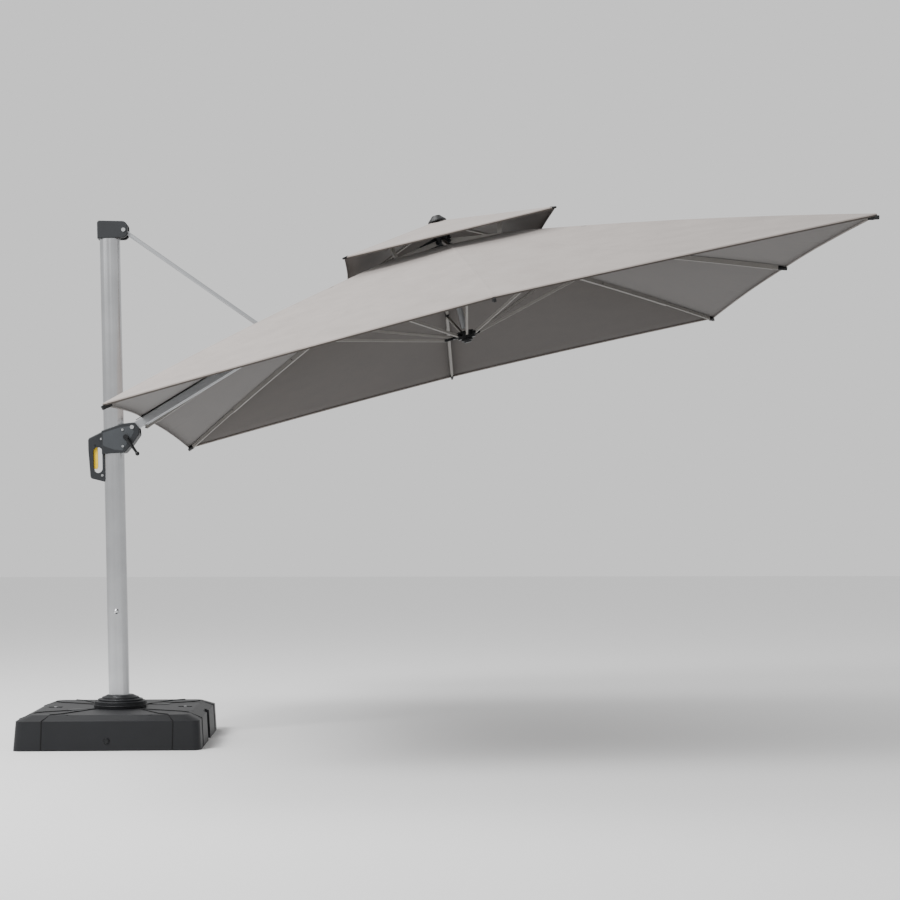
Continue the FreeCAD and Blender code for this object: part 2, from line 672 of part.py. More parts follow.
def slider_parts():
    body = new_body("housing_body")
    sketch = new_sketch(body, "XZ_Plane")
    trace(sketch, [
        ("-50", "-13"), ("-50", "-118.5"), ("54", "-115"), ("92", "-74"), ("121", "-33"), ("119", "-4"),
        ("99", "22"), ("41", "17"),
    ])
    extrude(body, sketch, "2*slider_half")
    flat_side = size("slider_half")
    round_edges(body, "12", lambda e: along(e, Y_AXIS) and e.CenterOfMass.x > 45)
    round_edges(body, "4", lambda e: abs(abs(e.CenterOfMass.y) - flat_side) < 0.01)

    grip = new_body("housing_grip")
    sketch = new_sketch(grip, "XZ_Plane")
    inner = "-mast_wide/2+6"
    trace(sketch, [
        (inner, "-9.5"), ("-104", "-40"), ("-115.5", "-54", "16", -1), ("-115.5", "-98"), ("-108", "-219.5"),
        ("-99", "-230", "14", -1), (inner, "-246.5"),
    ])
    extrude(grip, sketch, "2*handle_half")
    thin = size("handle_half")
    round_edges(grip, "5", lambda e: abs(abs(e.CenterOfMass.y) - thin) < 0.01
                and e.CenterOfMass.x < size(inner) - 1)

    opening = new_body("grip_opening")
    sketch = new_sketch(opening, "XZ_Plane")
    trace(sketch, [
        ("-93", "-184"), ("-52", "-184", "20.51", -1), ("-52", "-106"), ("-93", "-106", "20.51", -1),
    ])
    extrude(opening, sketch, "4*handle_half")

    pocket = block("lever_pocket", shift(-106, -6.6, -193), "36", "13.2", "122")
    bore = oval_bar("slider_bore", "slider_fit", "-300", "60")
    slot = block("arm_slot", shift(64, -size("arm_wide/2+side_gap"), -23), "70", "arm_wide+2*side_gap", "60")
    round_slot = pin("arm_slot_round", "24", "-arm_wide/2-side_gap", "arm_wide/2+side_gap",
                     shift(size("arm_pin_out")))
    crank_at = shift(size("crank_out"), 0, -size("crank_drop"))
    cavity = pin("drum_cavity", "drum_radius+1.5", "-drum_half-side_gap", "drum_half+side_gap", crank_at)
    axle_hole = pin("axle_hole", "axle_radius+running_gap", "-60", "drum_half+12", crank_at)
    pin_hole = pin("arm_pin_hole", "arm_pin_radius+running_gap", "-60", "60", shift(size("arm_pin_out")))
    lever_hole = pin("lever_pin_hole", "3", "-60", "60", shift(-84, 0, -78))
    recesses = []
    for name, side in (("panel_near", -1), ("panel_far", 1)):
        for use in ("_recess", ""):
            plate = new_body(name + use)
            outline = new_sketch(plate, "XZ_Plane", f"{-side}*(slider_half-2)")
            panel_outline(outline)
            depth = "6" if use else "panel_thick"
            extrude(plate, outline, depth, both=False, back=side > 0)
            if use:
                recesses.append(plate)
            else:
                hole = pin(name + "_axle_hole", "axle_radius+1", "-60", "60", crank_at)
                bolt = pin(name + "_pin_hole", "arm_pin_radius", "-60", "60", shift(size("arm_pin_out")))
                keep(name, minus(name, plate, hole, bolt), SLIDER)
    housing = minus("slider_housing", plus("slider_housing", body, grip), opening, pocket, bore, slot,
                    round_slot, cavity, axle_hole, pin_hole, lever_hole, *recesses)
    keep("slider_housing", housing, SLIDER)

    spot = shift(size("arm_pin_out"))
    edge = "slider_half+panel_thick-2"
    shank = pin("arm_bolt_shank", "arm_pin_radius", f"-({edge})", edge, spot)
    caps = [pin("arm_bolt_head", "arm_pin_radius+2", low, high, spot)
            for low, high in ((f"-({edge})-2.5", f"-({edge})"), (edge, f"{edge}+2.5"))]
    keep("arm_bolt", plus("arm_bolt", shank, *caps), SLIDER)

    lever = new_body("grip_lever_blade")
    sketch = new_sketch(lever, "XZ_Plane")
    trace(sketch, [
        ("-92", "-78"), ("-92", "-180"), ("-80", "-186", "12", -1), ("-74", "-170", "18", -1), ("-74", "-96"),
        ("-76", "-78"),
    ])
    extrude(lever, sketch, "12")
    lever_pin = pin("grip_lever_pin", "3", "-6", "6", shift(-84, 0, -78))
    eye = pin("grip_lever_eye", "6", "-6", "6", shift(-84, 0, -78))
    stubs = pin("grip_lever_stub", "3-running_gap", "-handle_half", "handle_half", shift(-84, 0, -78))
    keep("grip_lever", plus("grip_lever", lever, lever_pin, eye, stubs), SLIDER)

    out = "-slider_half-panel_thick+2-crank_boss_tall"
    boss = pin("crank_boss", "crank_boss_radius", out, "-slider_half-panel_thick+2-side_gap", crank_at)
    swing = crank_at * spin(56.5)
    rod_at = swing * shift(0, size(f"{out}+crank_root_radius"), 0) * spin(90)
    rod = solid("Cone", "crank_rod", rod_at, Radius1="crank_root_radius", Radius2="crank_tip_radius",
                Height="crank_long")
    ball = solid("Sphere", "crank_ball",
                 swing * shift(size("crank_long"), size(f"{out}+crank_root_radius"), 0),
                 Radius="crank_ball_radius")
    keep("crank_handle", plus("crank_handle", boss, rod, ball), SLIDER)
    core = pin("drum_core", "drum_radius-3", "-drum_half", "drum_half", crank_at)
    sides = [pin("drum_side", "drum_radius", low, high, crank_at)
             for low, high in (("-drum_half", "-drum_half+3"), ("drum_half-3", "drum_half"))]
    axle = pin("drum_axle", "axle_radius", "-slider_half-panel_thick+2-side_gap", "drum_half+11", crank_at)
    keep("winch_drum", plus("winch_drum", core, axle, *sides), SLIDER)


mast_parts()
slider_parts()


# ---------------------------------------------------------------- arm and strut
def arm_parts():
    end = "arm_long-neck_long"
    shell = tube("arm_shell", "arm_wide", "arm_tall", "6", "arm_wall", f"{end}-arm_start")
    shell.Placement = shift(size("arm_start"))
    half_wide = "link_pin_radius+3.2"
    slot_at = shift(size("arm_to_strut")) * spin(strut_dip + arm_rise)
    slot = block("link_slot", slot_at * shift(-size(half_wide), -size("arm_wide"), -size("link_slot_half")),
                 f"2*({half_wide})", "2*arm_wide", "2*link_slot_half")
    cord_slot = block("cord_slot", shift(size("cord_entry") - 10, -3, size("arm_tall/2") - 6), "75", "6", "12")
    keep("arm_tube", minus("arm_tube", shell, slot, cord_slot), ARM)

    inner_w = "arm_wide-2*arm_wall-2*running_gap"
    inner_t = "arm_tall-2*arm_wall-2*running_gap"
    eye = pin("root_eye", "19", "-arm_wide/2", "arm_wide/2", shift(0))
    web = block("root_web", shift(0, -size("arm_wide/2"), -size("arm_tall/2-5")), "arm_start", "arm_wide",
                "arm_tall-10")
    corner = tongue_rounding("root", shift(size("arm_start")), "root_tongue", inner_w, inner_t)
    hole = pin("root_hole", "arm_pin_radius+running_gap", "-60", "60", shift(0))
    keep("arm_root", minus("arm_root", plus("arm_root", eye, web, corner), hole), ARM)

    keep("lift_cord", lift_cord())

    shell = tube("strut_shell", "strut_wide", "strut_tall", "strut_corner", "strut_wall",
                 "strut_long-fork_long-16")
    keep("strut_tube", shell, STRUT * shift(16))
    inner_w = "strut_wide-2*strut_wall-2*running_gap"
    inner_t = "strut_tall-2*strut_wall-2*running_gap"
    eye = pin("strut_eye_round", "12", "-strut_wide/2", "strut_wide/2", shift(0))
    neck = block("strut_eye_neck", shift(0, -size("strut_wide/2"), -size("strut_tall/2")), "16", "strut_wide",
                 "strut_tall")
    corner = tongue_rounding("strut_eye", shift(16), "40", inner_w, inner_t)
    hole = pin("strut_eye_hole", "strut_pin_radius/2+running_gap", "-60", "60", shift(0))
    keep("strut_eye", minus("strut_eye", plus("strut_eye", eye, neck, corner), hole), STRUT)

    cheek_in = "arm_wide/2+side_gap"
    cheek_out = f"{cheek_in}+fork_cheek"
    start = size("strut_long-fork_long")
    bridge = block("fork_bridge", shift(start, -size(cheek_out), -size("strut_tall/2")), "14",
                   f"2*({cheek_out})", "strut_tall")
    pieces = [bridge, tongue_rounding("fork", shift(start - 40), "41", inner_w, inner_t)]
    at = shift(size("strut_long"))
    for name, low in (("fork_near", -size(cheek_out)), ("fork_far", size(cheek_in))):
        pieces.append(block(name, shift(start, low, -size("strut_tall/2")), "fork_long", "fork_cheek",
                            "strut_tall"))
        pieces.append(pin(name + "_disc", "fork_tall/2", str(low), f"{low}+fork_cheek", at))
    pieces.append(pin("fork_pin", "link_pin_radius", f"-({cheek_out})-3", f"{cheek_out}+3", at))
    keep("strut_fork", plus("strut_fork", *pieces), STRUT)


def tongue_rounding(name, frame, length, width, height):
    """The solid tongue of a fitting, with the round corners of the tube that it fills."""
    body = new_body(name + "_tongue_bar")
    sketch = new_sketch(body, "YZ_Plane")
    rounded(sketch, f"({width})/2", f"({height})/2", "tongue_corner")
    extrude(body, sketch, length, both=False)
    body.Placement = frame
    return body


def cord_route():
    """The lift cord's points in the arm's frame: along the top of the arm, in at the slot, on inside it."""
    top = size("arm_tall/2+cord_radius") + 0.15
    entry, inside = size("cord_entry"), size("arm_tall/2-arm_wall-cord_radius") - 5
    end = size("arm_long-neck_long-neck_tongue") - 4
    return [V(30, 0, top), V(entry, 0, top), V(entry + 42, 0, inside), V(end, 0, inside)]


def lift_cord():
    """A cord of straight runs joined by arcs."""
    points = cord_route()
    edges, start = [], points[0]
    for before, corner, after in zip(points, points[1:], points[2:]):
        into, out = (corner - before).normalize(), (after - corner).normalize()
        turn = math.acos(into.dot(out))
        reach = 0.45 * min((corner - before).Length, (after - corner).Length)
        first, last = corner - into * reach, corner + out * reach
        bisector = (out - into).normalize()
        radius = reach / math.tan(turn / 2)
        middle = corner + bisector * (radius / math.cos(turn / 2) - radius)
        edges += [Part.LineSegment(start, first).toShape(), Part.Arc(first, middle, last).toShape()]
        start = last
    edges.append(Part.LineSegment(start, points[-1]).toShape())
    path = Part.Wire(edges)
    section = Part.Wire(Part.Circle(points[0], X_AXIS, size("cord_radius")).toShape())
    cord = doc.addObject("Part::Feature", "lift_cord_solid")
    cord.Shape = path.makePipeShell([section], True, False)
    cord.Placement = ARM
    return cord


# ---------------------------------------------------------------- canopy hub
def hub_parts():
    disc = solid("Cylinder", "hub_disc", shift(0, 0, size("hub_low")), Radius="hub_radius",
                 Height="rib_pin_high+30-hub_low")
    dome = solid("Cylinder", "hub_dome", shift(0, 0, size("rib_pin_high+30")), Radius="vent_neck_out-6",
                 Height="hub_top-rib_pin_high-30")
    arm_end = shift(0, 0, size("hub_high")) * spin(-size("canopy_to_arm"))
    neck = tongue_rounding("hub_neck", arm_end * shift(-size("neck_long-side_gap")), "neck_long-side_gap-8",
                           "arm_wide", "arm_tall")
    inner_w = "arm_wide-2*arm_wall-2*running_gap"
    inner_t = "arm_tall-2*arm_wall-2*running_gap"
    tongue = tongue_rounding("hub", arm_end * shift(-size("neck_long+neck_tongue")), "neck_tongue+2",
                             inner_w, inner_t)
    lugs, slots = [], []
    for _, turn, out, aside in RIBS:
        if aside:
            continue
        frame = spin(turn, Z_AXIS) * shift(size(out), 0, size("rib_pin_high"))
        near, far = "rib_wide/2+side_gap", "rib_wide/2+side_gap+lug_thick"
        for low, high in ((f"-({far})", f"-({near})"), (near, far)):
            lugs.append(pin("hub_lug", "8.5", low, high, frame))
            corner = frame * shift(-16, size(low), -8.5)
            lugs.append(block("hub_lug_root", corner, "16", "lug_thick", "17"))
        lugs.append(pin("hub_rib_pin", "rib_pin_radius", f"-({far})-1", f"{far}+1", frame))
        corner = frame * shift(-13.5, -size(near), -40)
        slots.append(block("hub_rib_slot", corner, "40", f"2*({near})", "80"))
    west = shift(-size("west_pin_out"), 0, size("rib_pin_high"))
    ear_low, ear_high = "arm_wide/2-3", "west_aside-rib_wide/2-side_gap"
    lugs.append(pin("west_ear_round", "west_ear", ear_low, ear_high, west))
    lugs.append(pin("west_ear_pin", "rib_pin_radius", ear_low, "west_aside+rib_wide/2+side_gap+3", west))
    lugs.append(pin("west_ear_head", "rib_pin_radius+3", "west_aside+rib_wide/2+side_gap",
                    "west_aside+rib_wide/2+side_gap+3", west))
    tube_hole = solid("Cylinder", "hub_tube_hole", shift(0, 0, size("hub_low") - 1),
                      Radius="centre_tube_radius+running_gap", Height="31")
    body = minus("top_hub_body", plus("hub_core", disc, dome), *slots)
    hub = minus("top_hub", plus("top_hub", body, neck, tongue, *lugs), tube_hole)
    keep("top_hub", hub, CANOPY)

    outer = solid("Cylinder", "centre_tube_out", shift(0, 0, size("centre_tube_low")),
                  Radius="centre_tube_radius", Height="hub_low+29-centre_tube_low")
    inner = solid("Cylinder", "centre_tube_in", shift(0, 0, size("centre_tube_low") - 1),
                  Radius="centre_tube_radius-centre_tube_wall", Height="hub_low+40-centre_tube_low")
    keep("centre_tube", minus("centre_tube", outer, inner), CANOPY)

    body = new_body("finial_turned")
    sketch = new_sketch(body, "XZ_Plane")
    low = "vent_neck_high+6"
    trace(sketch, [
        ("0", "hub_top+0.2"), ("11", "hub_top+0.2"), ("11", low), ("finial_radius-2", low),
        ("finial_radius", f"{low}+3"), ("finial_radius-4", f"{low}+9"), ("26", f"{low}+22"),
        ("20", f"{low}+finial_tall-1"), ("17", f"{low}+finial_tall"), ("0", f"{low}+finial_tall"),
    ])
    revolve(body, sketch)
    keep("finial", body, CANOPY)


# ---------------------------------------------------------------- runner
def runner_parts():
    high = size("runner_high")
    disc = solid("Cylinder", "runner_disc", shift(0, 0, high - size("runner_tall/2")),
                 Radius="runner_radius", Height="runner_tall")
    lugs, slots = [], []
    for node, turn, _, aside in RIBS:
        near, far = "brace_wide/2+side_gap", "brace_wide/2+side_gap+runner_lug"
        if aside:
            shifted = "runner_pin_out+west_pin_out-rib_pin_out"
            bar = shift(-size(shifted) - 6, size("west_aside") - size(far), high - 6)
            lugs.append(block("west_lug_bar", bar, "west_pin_out-rib_pin_out+16", "runner_lug", "12"))
            frame = shift(-size(shifted), size("west_aside"), high)
            lugs.append(pin("west_runner_rivet", "runner_pin_radius", f"-({far})-1", f"-({near})", frame))
            root = shift(-size("runner_pin_out") - 2, 8, high - 6)
            lugs.append(block("west_lug_tie", root, "12", "west_aside-12", "12"))
            lugs.append(block("west_lug_root", root, "40", "9", "12"))
            continue
        frame = spin(turn, Z_AXIS) * shift(size("runner_pin_out"), 0, high)
        sides = [(f"-({far})", f"-({near})"), (near, far)]
        if turn == 90:
            sides = sides[1:]
        elif turn == 270:
            sides = sides[:1]
        for low, top in sides:
            lugs.append(pin("runner_lug", "6.5", low, top, frame))
            corner = frame * shift(-26, size(low), -6.5)
            lugs.append(block("runner_lug_root", corner, "26", "runner_lug", "13"))
            lugs.append(pin("runner_rivet", "runner_pin_radius", f"{low}-1", f"{top}+1", frame))
        if node == "east":
            lugs.append(pin("runner_brace_pin", "runner_pin_radius", f"-({far})-1", f"{far}+1", frame))
        wide, narrow = size(near) + 15, size(near)
        right = wide if turn == 90 else narrow
        left = wide if turn == 270 else narrow
        inward = 9 if node == "east" else 16 if is_corner(turn) else 24
        spot = frame * shift(-inward, -right, -40)
        slots.append(block("runner_slot", spot, "55", str(right + left), "80"))
    dock = solid("Cylinder", "runner_dock", shift(0, 0, size("centre_tube_low") - 2),
                 Radius="centre_tube_radius+3", Height="40")
    body = minus("runner_body", disc, *slots, dock)
    keep("runner", plus("runner", body, *lugs), CANOPY)

    knob = new_body("knob_turned")
    sketch = new_sketch(knob, "XZ_Plane")
    top = "runner_high-runner_tall/2"
    trace(sketch, [
        ("0", "knob_low"), ("knob_radius-9", "knob_low"), ("knob_radius", "knob_low+9", "9.01", 1),
        ("knob_radius", f"{top}-2"), ("knob_radius-3", top), ("0", top),
    ])
    revolve(knob, sketch)
    keep("runner_knob", knob, CANOPY)


# ---------------------------------------------------------------- ribs and braces
# node suffix, direction in degrees, distance of the root pin from the axis, and sideways offset
RIBS = [
    ("east", 0, "rib_pin_out", ""),
    ("north_east", 45, "rib_pin_out", ""),
    ("north", 90, "rib_pin_out", ""),
    ("north_west", 135, "rib_pin_out", ""),
    ("west", 180, "west_pin_out", "-west_aside"),
    ("south_west", 225, "rib_pin_out", ""),
    ("south", 270, "rib_pin_out", ""),
    ("south_east", 315, "rib_pin_out", ""),
]


def is_corner(turn):
    return turn % 90 != 0


class Rib:
    """Where one rib, its brace and the cloth over it lie, in the canopy's frame."""

    def __init__(self, node, turn, out, aside):
        self.node, self.turn, self.corner = node, turn, is_corner(turn)
        self.bow = "corner_bow" if self.corner else "mid_bow"
        self.at = "west_brace_at" if aside else "corner_brace_at" if self.corner else "mid_brace_at"
        self.out, self.aside = size(out), size(aside) if aside else 0.0
        root = V(self.out, 0, size("rib_pin_high"))
        edge_out = size("corner_half") * math.sqrt(2) if self.corner else size("mid_half")
        edge = V(edge_out, 0, 0 if self.corner else size("mid_lift"))
        over = size("rib_tall/2+cloth_over_rib")
        reach = (edge - root).Length
        self.long = math.sqrt(reach**2 - over**2)
        self.dip = math.degrees(math.atan2(root.z - edge.z, edge.x - root.x) + math.atan2(over, self.long))
        turned = spin(turn, Z_AXIS) * shift(self.out, self.aside, root.z)
        self.frame = turned * spin(self.dip)
        self.cloth_frame = spin(turn, Z_AXIS) * shift(self.out, 0, root.z) * spin(self.dip)
        self.over = over

    def rise(self, x):
        """How far the bowed centre line stands above its chord."""
        bow = size(self.bow)
        radius = (self.long**2 / 4 + bow**2) / (2 * bow)
        return math.sqrt(radius**2 - (x - self.long / 2) ** 2) - (radius - bow)

    def brace_pin(self):
        """The brace's upper pin, in the rib's frame."""
        x = size(self.at)
        return V(x, 0, self.rise(x) - size("brace_drop"))

    def cloth_point(self, out):
        """The cloth's upper surface over the rib, at a distance from the canopy's axis."""
        dip = math.radians(self.dip)
        x = (out - self.out) / math.cos(dip)
        for _ in range(3):
            high = self.over + self.rise(max(0, min(x, self.long)))
            x = (out - self.out - high * math.sin(dip)) / math.cos(dip)
        return self.cloth_frame.multVec(V(x, 0, self.over + self.rise(max(0, min(x, self.long)))))


def rib_bar(rib, name, tall, wide, start, stop):
    """A stretch of a rib: a bar whose top and bottom follow the rib's bow."""
    body = new_body(name)
    sketch = new_sketch(body, "XZ_Plane")
    half = f"({tall})/2"
    radius = f"(({rib.long})^2/4+{rib.bow}^2)/(2*{rib.bow})"
    low, high = rib.rise(start), rib.rise(stop)
    trace(sketch, [
        (str(start), f"{low}+{half}", radius, -1), (str(start), f"{low}-{half}"),
        (str(stop), f"{high}-{half}", radius, 1), (str(stop), f"{high}+{half}"),
    ])
    extrude(body, sketch, wide)
    return body


def rib_parts(rib):
    step = size("rib_step") if rib.corner else rib.long - 60
    name = "rib_" + rib.node
    pieces = [
        rib_bar(rib, name + "_bar", "rib_tall", "rib_wide", 0.0, step),
        rib_bar(rib, name + "_tip", "tip_tall", "tip_wide", step - 80, rib.long),
        pin(name + "_eye", "rib_tall/2", "-rib_wide/2", "rib_wide/2", shift(0)),
    ]
    hole = pin(name + "_hole", "rib_pin_radius+running_gap", "-rib_wide", "rib_wide", shift(0))
    at = rib.brace_pin()
    spot = shift(at.x, 0, at.z)
    near, far = "brace_wide/2+side_gap", "brace_wide/2+side_gap+cheek_thick"
    for low, high in ((f"-({far})", f"-({near})"), (near, far)):
        pieces.append(pin(name + "_cheek", "6.5", low, high, spot))
        corner = spot * shift(-10, size(low), 0)
        pieces.append(block(name + "_cheek_web", corner, "20", "cheek_thick", "brace_drop"))
    pieces.append(pin(name + "_brace_pin", "runner_pin_radius", f"-({far})-1", f"{far}+1", spot))
    if rib.corner:
        pieces.append(vent_clip(rib, name))
    cores = [
        rib_bar(rib, name + "_core", "rib_tall-2*rib_wall", "rib_wide-2*rib_wall", 16.0, step - 82),
        rib_bar(rib, name + "_tip_core", "tip_tall-2*rib_wall", "tip_wide-2*rib_wall", step - 78,
                rib.long + 1),
    ]
    keep(name, minus(name, plus(name, *pieces), hole, *cores), CANOPY * rib.frame)


def vent_line(rib):
    """The vent rib's frame inside the corner rib's frame, and its length."""
    start = V(size("vent_rib_root"), 0, size("vent_neck_high") - 12)
    end_out = size("vent_half") * math.sqrt(2)
    end = V(end_out, 0, size("vent_corner_high-vent_rib_tall/2-cloth_over_vent_rib"))
    slope = (size("vent_neck_high-vent_corner_high")) / (end_out - size("vent_neck_out"))
    start.z = end.z + slope * (end_out - start.x)
    run = end - start
    frame = shift(start.x, 0, start.z) * spin(math.degrees(math.atan2(-run.z, run.x)))
    local = rib.frame.inverse() * spin(rib.turn, Z_AXIS) * frame
    return local, run.Length


def vent_clip(rib, name):
    """The post on a corner rib that carries the vent rib."""
    local, _ = vent_line(rib)
    x = (size("clip_out") - size("rib_pin_out")) / math.cos(math.radians(rib.dip))
    low = rib.rise(x)
    under = local.multVec(V(x - local.Base.x, 0, -size("vent_rib_tall/2")))
    return block(name + "_clip", shift(x - size("clip_wide/2"), -size("clip_thick/2"), low),
                 "clip_wide", "clip_thick", str(under.z - low - 0.6))


def vent_rib(rib):
    local, long = vent_line(rib)
    name = "vent_rib_" + rib.node
    bar = block(name, rib.frame * local * shift(0, -size("vent_rib_wide/2"), -size("vent_rib_tall/2")),
                str(long), "vent_rib_wide", "vent_rib_tall")
    keep(name, bar, CANOPY * bar.Placement)


def brace_ends(rib):
    """A brace's lower and upper pins, in the canopy's frame."""
    upper = rib.frame.multVec(rib.brace_pin())
    out = size("runner_pin_out") + rib.out - size("rib_pin_out")
    lower = (spin(rib.turn, Z_AXIS) * shift(out, rib.aside, size("runner_high"))).Base
    return lower, upper


def brace(rib):
    lower, upper = brace_ends(rib)
    along_it = spin(rib.turn, Z_AXIS).inverse().multVec(upper - lower)
    rise = math.degrees(math.atan2(along_it.z, along_it.x))
    frame = FreeCAD.Placement(lower, FreeCAD.Rotation()) * spin(rib.turn, Z_AXIS) * spin(-rise)
    name = "brace_" + rib.node
    long = (upper - lower).Length
    low, high = "-brace_wide/2", "brace_wide/2"
    bar = block(name + "_bar", shift(0, size(low), -size("brace_tall/2")), str(long), "brace_wide",
                "brace_tall")
    eyes = [pin(name + "_eye", "brace_tall/2", low, high, shift(x)) for x in (0, long)]
    holes = [pin(name + "_hole", "runner_pin_radius+running_gap", "-20", "20", shift(x)) for x in (0, long)]
    keep(name, minus(name, plus(name, bar, *eyes), *holes), CANOPY * frame)


# ---------------------------------------------------------------- cloth
def cloth_solid(name, rows):
    """A thin closed solid from rows of points: one row per rib, from the middle hole to the edge."""
    drop = V(0, 0, -size("cloth"))
    faces = []

    def sheet_of(a, b, c):
        faces.append(Part.Face(Part.makePolygon([a, b, c, a])))

    count = len(rows)
    for k in range(count):
        here, there = rows[k], rows[(k + 1) % count]
        for j in range(len(here) - 1):
            for low in (V(), drop):
                sheet_of(here[j] + low, here[j + 1] + low, there[j + 1] + low)
                sheet_of(here[j] + low, there[j + 1] + low, there[j] + low)
        for j in (0, -1):
            sheet_of(here[j], there[j], there[j] + drop)
            sheet_of(here[j], there[j] + drop, here[j] + drop)
    shell = Part.makeShell(faces)
    shell.sewShape()
    whole = Part.makeSolid(shell)
    if whole.Volume < 0:
        whole.reverse()
    made = doc.addObject("Part::Feature", name + "_solid")
    made.Shape = whole
    return made


def cloth_parts(ribs):
    rows, steps = [], 6
    for rib in ribs:
        hole = size("vent_hole_half") * (math.sqrt(2) if rib.corner else 1)
        edge = size("corner_half") * math.sqrt(2) if rib.corner else size("mid_half")
        outs = [hole + (edge - hole) * k / steps for k in range(steps + 1)]
        if rib.aside:
            slope = math.tan(math.radians(size("canopy_to_arm")))
            over = size("arm_tall/2") / math.cos(math.radians(size("canopy_to_arm")))
            top = size("hub_high") + over + size("cloth_over_arm")
            rows.append([V(-out, 0, top - slope * out) for out in outs])
        else:
            rows.append([rib.cloth_point(out) for out in outs])
    whole = cloth_solid("main_canopy", rows)
    spot = ARM * shift(size("arm_to_strut-link_opening_back"), -size("link_opening_half"), 0)
    opening = block("strut_opening", spot, "link_opening_back+link_opening_front", "2*link_opening_half",
                    "arm_tall*2")
    opening.Placement = CANOPY.inverse() * opening.Placement
    keep("main_canopy", minus("main_canopy", whole, opening), CANOPY)

    rows = []
    for rib in ribs:
        if rib.corner:
            edge = size("vent_half") * math.sqrt(2)
            neck = size("vent_neck_out") * math.sqrt(2)
            ends = [V(neck, 0, size("vent_neck_high")), V(edge, 0, size("vent_corner_high"))]
            turned = spin(rib.turn, Z_AXIS)
            rows.append([turned.multVec(ends[0] + (ends[1] - ends[0]) * k / 4) for k in range(5)])
    keep("vent_canopy", cloth_solid("vent_canopy", rows), CANOPY)


arm_parts()
hub_parts()
runner_parts()
ribs = [Rib(*row) for row in RIBS]
for rib in ribs:
    rib_parts(rib)
    brace(rib)
    if rib.corner:
        vent_rib(rib)
cloth_parts(ribs)


# ---------------------------------------------------------------- check and write
doc.recompute()
faults = [item.Name for item in doc.Objects if {"Invalid", "Error"} & set(item.State)]
for node, thing in parts.items():
    shape = thing.Shape
    if shape.isNull() or not shape.isValid() or not shape.Solids:
        faults.append(node)
if faults:
    raise RuntimeError("not built: " + ", ".join(faults))
os.makedirs("parts", exist_ok=True)
for node, thing in parts.items():
    thing.Shape.exportStep(f"parts/{node}.step")
print(len(parts), "sub-parts written")
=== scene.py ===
# %% [markdown]
# # A square cantilever umbrella on a ballast tank
# The engineering model is loaded first and never moved. Every piece made here is placed by its
# joints and boxes, rides on one of its bodies, and is in metres in the same frame.

# %% Load the fixed frame
import json
import math

import bmesh
import bpy
from mathutils import Matrix, Vector


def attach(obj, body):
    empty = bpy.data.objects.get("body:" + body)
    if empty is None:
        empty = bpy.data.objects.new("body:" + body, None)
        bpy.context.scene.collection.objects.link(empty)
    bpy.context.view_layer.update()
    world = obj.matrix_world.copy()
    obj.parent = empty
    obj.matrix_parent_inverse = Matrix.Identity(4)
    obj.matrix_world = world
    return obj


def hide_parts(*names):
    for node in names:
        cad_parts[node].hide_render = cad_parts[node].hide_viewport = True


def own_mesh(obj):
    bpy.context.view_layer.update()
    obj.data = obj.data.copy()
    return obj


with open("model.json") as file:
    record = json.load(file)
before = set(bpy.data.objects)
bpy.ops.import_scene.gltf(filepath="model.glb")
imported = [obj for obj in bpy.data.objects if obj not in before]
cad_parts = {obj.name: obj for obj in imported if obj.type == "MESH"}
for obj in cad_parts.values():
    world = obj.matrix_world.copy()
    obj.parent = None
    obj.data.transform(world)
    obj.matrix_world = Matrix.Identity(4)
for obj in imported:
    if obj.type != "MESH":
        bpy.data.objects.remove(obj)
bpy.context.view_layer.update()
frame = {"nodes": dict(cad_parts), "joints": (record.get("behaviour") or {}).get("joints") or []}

joints = {joint["name"]: joint for joint in frame["joints"]}

# %% [markdown]
# ## Finding the umbrella's own directions
# The mast leans, the arm climbs and the canopy is tilted, so each has its own frame. Their places
# could be typed in, but then nothing would follow if the engineering model changed. The joints
# already say where things turn: the hinges of two opposite ribs give the canopy's axis, the
# slider's direction gives the mast's lean, and the rest follows from a few lengths.

# %% Frames of the canopy, the arm and the slider
RIB_ROOT_HIGH = 0.520  # rib hinges above the plane of the canopy's corners
RIB_ROOT_OUT = 0.050   # rib hinges out from the canopy's axis
HUB_HIGH = 0.539       # where the arm's line meets the canopy's axis
ARM_PIN_OUT = 0.0887   # arm pin out from the mast's axis


def joint_at(name):
    return Vector(joints[name]["pos_m"])


def frame_of(origin, along):
    """A frame with X along a direction in the XZ plane and Y kept."""
    x = along.normalized()
    y = Vector((0, 1, 0))
    z = x.cross(y)
    turn = Matrix((x, y, z)).transposed().to_4x4()
    return Matrix.Translation(origin) @ turn


root_centre = (joint_at("rib_north_fold") + joint_at("rib_south_fold")) / 2
canopy_out = joint_at("rib_east_fold") - root_centre
canopy = frame_of(root_centre, canopy_out) @ Matrix.Translation((0, 0, -RIB_ROOT_HIGH))
arm_end = canopy @ Vector((0, 0, HUB_HIGH))
arm = frame_of(joint_at("arm_swing"), arm_end - joint_at("arm_swing"))
mast_up = Vector(joints["slider_travel"]["axis"])
mast_out = Vector((mast_up.z, 0, -mast_up.x))
slider = frame_of(joint_at("arm_swing") - mast_out * ARM_PIN_OUT, mast_out)
MAST_RAKE = math.atan2(-mast_up.x, mast_up.z)
print("canopy tilt", round(math.degrees(math.atan2(canopy_out.z, canopy_out.x)), 2), "degrees")

# %% [markdown]
# ## The camera
# A long lens stands a little below the canopy and well back, so that the far corners hardly
# shrink. It is placed first, because everything else is judged through it.

# %% Camera
LENS_MM = 66.5
SENSOR_MM = 36
CAMERA_AT = (1.1133, -7.6716, 0.9247)
CAMERA_PITCH = 0.0515
CAMERA_YAW = -0.0503

